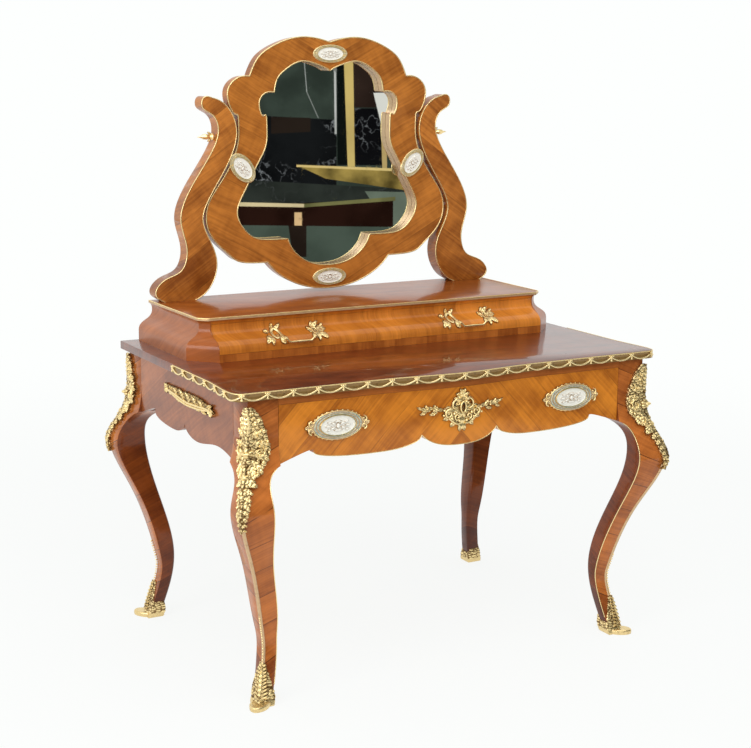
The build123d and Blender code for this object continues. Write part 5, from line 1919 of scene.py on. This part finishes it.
# ---- Studio ---------------------------------------------------------------------------------
# Glowing cards that paint the reflection of a dim room in front of the object: name, four corners as (across, up)
# pairs, distance in front of the wall, colour, cloudiness and strength of pale veins.
ROOM = (
    ("wall", (-4.0, -1.6, 2.2, -1.6, 2.2, 3.0, -4.0, 3.0), 0.0, (0.052, 0.070, 0.056), 0.45, 0.0),
    ("marble", (0.6, -0.18, -0.03, -0.18, -0.03, 0.205, 0.6, 0.235), 0.01, (0.010, 0.011, 0.012), 0.6, 0.5),
    ("chest", (0.27, 0.14, 0.09, 0.15, 0.09, 0.213, 0.27, 0.217), 0.012, (0.024, 0.016, 0.012), 0.4, 0.1),
    ("crack_high", (0.121, 0.47, 0.117, 0.47, 0.105, 0.33, 0.109, 0.33), 0.013, (0.42, 0.44, 0.42), 0.2, 0.0),
    ("crack_low", (0.109, 0.33, 0.105, 0.33, 0.052, 0.213, 0.056, 0.213), 0.013, (0.30, 0.32, 0.30), 0.2, 0.0),
    ("strip", (-0.016, 0.46, -0.026, 0.46, -0.030, 0.14, -0.021, 0.14), 0.03, (0.62, 0.62, 0.60), 0.3, 0.0),
    ("gap", (-0.028, 0.6, -0.06, 0.6, -0.085, 0.0, -0.034, 0.0), 0.02, (0.005, 0.007, 0.006), 0.0, 0.0),
    ("bar", (-0.056, 0.6, -0.101, 0.6, -0.114, -0.007, -0.081, -0.007), 0.03, (0.72, 0.53, 0.18), 0.15, 0.0),
    ("panel", (-0.10, 0.6, -0.40, 0.6, -0.40, 0.262, -0.11, 0.262), 0.012, (0.034, 0.020, 0.015), 0.4, 0.0),
    ("niche", (-0.11, 0.258, -0.24, 0.258, -0.24, 0.0, -0.112, 0.0), 0.012, (0.006, 0.006, 0.007), 0.3, 0.3),
    ("pane", (-0.197, 0.328, -0.30, 0.33, -0.29, 0.187, -0.233, 0.187), 0.02, (0.86, 0.84, 0.78), 0.05, 0.0),
    ("post", (-0.232, 0.19, -0.256, 0.19, -0.262, -0.02, -0.240, -0.02), 0.03, (0.62, 0.44, 0.18), 0.2, 0.0),
    ("shelf", (0.153, -0.001, -0.40, -0.02, -0.40, -0.12, 0.02, -0.062), 0.04, (0.50, 0.35, 0.09), 0.9, 0.0),
    ("rail", (0.153, 0.0, -0.40, -0.017, -0.40, -0.030, 0.153, -0.010), 0.045, (0.84, 0.62, 0.24), 0.15, 0.0),
    ("dado", (0.6, -0.06, -0.4, -0.11, -0.4, -0.19, 0.6, -0.19), 0.03, (0.034, 0.040, 0.034), 0.5, 0.12),
    ("glow", (-0.16, -0.118, -0.42, -0.122, -0.42, -0.30, -0.28, -0.30), 0.05, (0.17, 0.21, 0.16), 0.3, 0.0),
    ("ledge_left", (0.5, -0.170, 0.118, -0.177, 0.118, -0.193, 0.5, -0.189), 0.06, (0.82, 0.66, 0.38), 0.15, 0.0),
    ("ledge_right", (0.118, -0.177, -0.3, -0.142, -0.3, -0.160, 0.118, -0.193), 0.06, (0.22, 0.21, 0.08), 0.5, 0.0),
    ("frieze", (0.6, -0.189, -0.29, -0.158, -0.29, -0.28, 0.6, -0.275), 0.055, (0.024, 0.009, 0.006), 0.5, 0.0),
    ("patch", (0.162, -0.216, 0.128, -0.216, 0.128, -0.276, 0.162, -0.276), 0.065, (0.86, 0.56, 0.28), 0.1, 0.0),
    ("ground", (-0.8, -0.275, 0.8, -0.275, 0.8, -0.9, -0.8, -0.9), 0.045, (0.078, 0.105, 0.082), 0.3, 0.0),
    ("trestle", (0.19, -0.275, 0.107, -0.275, 0.107, -0.42, 0.17, -0.42), 0.05, (0.024, 0.015, 0.011), 0.3, 0.0),
)


@dataclass
class Studio:
    """Floor, world, lamps, the dim room in front of the object, and the camera."""

    eye: tuple[float, float, float] = (-1.9913, -3.4774, 1.4842)
    yaw: float = 29.539
    pitch: float = 11.557
    roll: float = 0.523
    lens: float = 77.5
    floor_half: float = 14.0
    ambient: float = 0.72
    room_centre: tuple[float, float, float] = (1.5053, -2.5073, 0.9344)
    room_across: tuple[float, float, float] = (-0.884, -0.4674, 0.0)
    room_up: tuple[float, float, float] = (0.0343, -0.0648, 0.9973)
    white: Color = (0.985, 1.0, 0.99, 1)

    def build(self) -> None:
        """Build everything around the object."""
        bpy.context.scene.view_settings.view_transform = "Standard"
        self.camera()
        self.world()
        self.floor()
        self.lamps()
        self.room()

    def camera(self) -> None:
        """Camera at the working viewpoint."""
        yaw, pitch, roll = (math.radians(angle) for angle in (self.yaw, self.pitch, self.roll))
        ahead = Vector((math.sin(yaw) * math.cos(pitch), math.cos(yaw) * math.cos(pitch), -math.sin(pitch)))
        level = Vector((math.cos(yaw), -math.sin(yaw), 0))
        upright = level.cross(ahead)
        right = level * math.cos(roll) + upright * math.sin(roll)
        top = upright * math.cos(roll) - level * math.sin(roll)
        data = bpy.data.cameras.new("camera")
        data.lens, data.sensor_width, data.clip_end = self.lens, 36.0, 100.0
        camera = link("camera", data)
        matrix = Matrix((right, top, -ahead)).transposed().to_4x4()
        matrix.translation = Vector(self.eye)
        camera.matrix_world = matrix
        bpy.context.scene.camera = camera

    def world(self) -> None:
        """Pale surroundings; white wherever they are seen directly or in a reflection."""
        world = bpy.data.worlds.new("studio")
        bpy.context.scene.world = world
        w = cleared(world)
        path = w.add("ShaderNodeLightPath").outputs
        seen = w.math("MAXIMUM", path["Is Camera Ray"], path["Is Transmission Ray"])
        direct = w.math("MAXIMUM", seen, path["Is Glossy Ray"])
        strength = w.math("MULTIPLY_ADD", direct, 1 - self.ambient, self.ambient)
        light = w.out("ShaderNodeBackground", {"Color": self.white, "Strength": strength})
        w.add("ShaderNodeOutputWorld", {"Surface": light})

    def floor(self) -> None:
        """Wide pale floor that keeps a soft shadow."""
        far = self.floor_half
        corners = [(-far, -far, 0), (far, -far, 0), (far, far, 0), (-far, far, 0)]
        obj = mesh_object("studio_floor", corners, [(0, 1, 2, 3)])
        material, w, position = glow_material("studio_floor")
        path = w.add("ShaderNodeLightPath").outputs
        seen = w.math("MAXIMUM", path["Is Camera Ray"], path["Is Glossy Ray"])
        reach = w.add("ShaderNodeVectorMath", {0: position}, operation="LENGTH").outputs["Value"]
        diffuse = w.out("ShaderNodeBsdfDiffuse", {"Color": (0.86, 0.86, 0.86, 1)})
        glow = w.out("ShaderNodeEmission", {"Color": self.white, "Strength": 1.0})
        share = w.times(seen, w.clamp(reach, 1.2, 4.0, 0.87, 1.0))
        mix = w.out("ShaderNodeMixShader", {0: share, 1: diffuse, 2: glow})
        w.add("ShaderNodeOutputMaterial", {"Surface": mix})
        obj.data.materials.append(material)

    @staticmethod
    def lamps() -> None:
        """Two soft boxes: a broad one overhead in front and one from the left."""
        settings = (("overhead", (-0.6, -2.2, 3.6), 3.0, 52.0), ("left", (-4.2, -1.6, 2.4), 2.2, 60.0))
        for name, spot, size, power in settings:
            data = bpy.data.lights.new(name, "AREA")
            data.shape, data.size, data.energy = "SQUARE", size, power
            lamp = link(name, data)
            lamp.location = spot
            lamp.rotation_euler = (Vector((0, 0, 0.8)) - Vector(spot)).to_track_quat("-Z", "Y").to_euler()

    def room(self) -> None:
        """Glowing cards of a dim room in front of the object, seen only in reflections: a painted reflection in the
        glass and the polish.
        """
        centre, across, upward = Vector(self.room_centre), Vector(self.room_across), Vector(self.room_up)
        toward = across.cross(upward)
        for name, corners, lift, color, change, vein in ROOM:
            spots = [centre + across * u + upward * v + toward * lift for u, v in zip(corners[::2], corners[1::2])]
            obj = mesh_object(f"room_{name}", spots, [(0, 1, 2, 3)])
            material, w, position = glow_material(f"room_{name}")
            cloud = w.noise(position, 5.0, 5)
            shade = w.blend(w.times(w.clamp(cloud, 0.35, 0.7), change), (*color, 1), (0.0, 0.0, 0.0, 1))
            ridge = w.math("ABSOLUTE", w.centred(w.noise(position, 15.0, 6)))
            line = w.times(w.clamp(ridge, 0.0, 0.02, vein, 0.0), w.clamp(cloud, 0.47, 0.66))
            glow = w.out("ShaderNodeEmission", {"Color": w.blend(line, shade, (0.5, 0.52, 0.55, 1))})
            w.add("ShaderNodeOutputMaterial", {"Surface": glow})
            obj.data.materials.append(material)
            obj.visible_camera = obj.visible_diffuse = obj.visible_shadow = False
            obj.visible_transmission = obj.visible_volume_scatter = False


def main() -> None:
    """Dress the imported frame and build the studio."""
    logging.basicConfig(level=logging.INFO, format="%(message)s")
    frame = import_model()
    Studio().build()
    kit = Kit(frame["nodes"], Finishes(), Repeats())
    legs = [Leg(kit, row, side) for row in Row for side in Side]
    for part in (TableTop(kit), *legs, MainDrawer(kit), UpperCase(kit), ToiletMirror(kit)):
        part.build()
    LOG.info("%d pieces", kit.pieces)


if __name__ == "__main__":
    main()
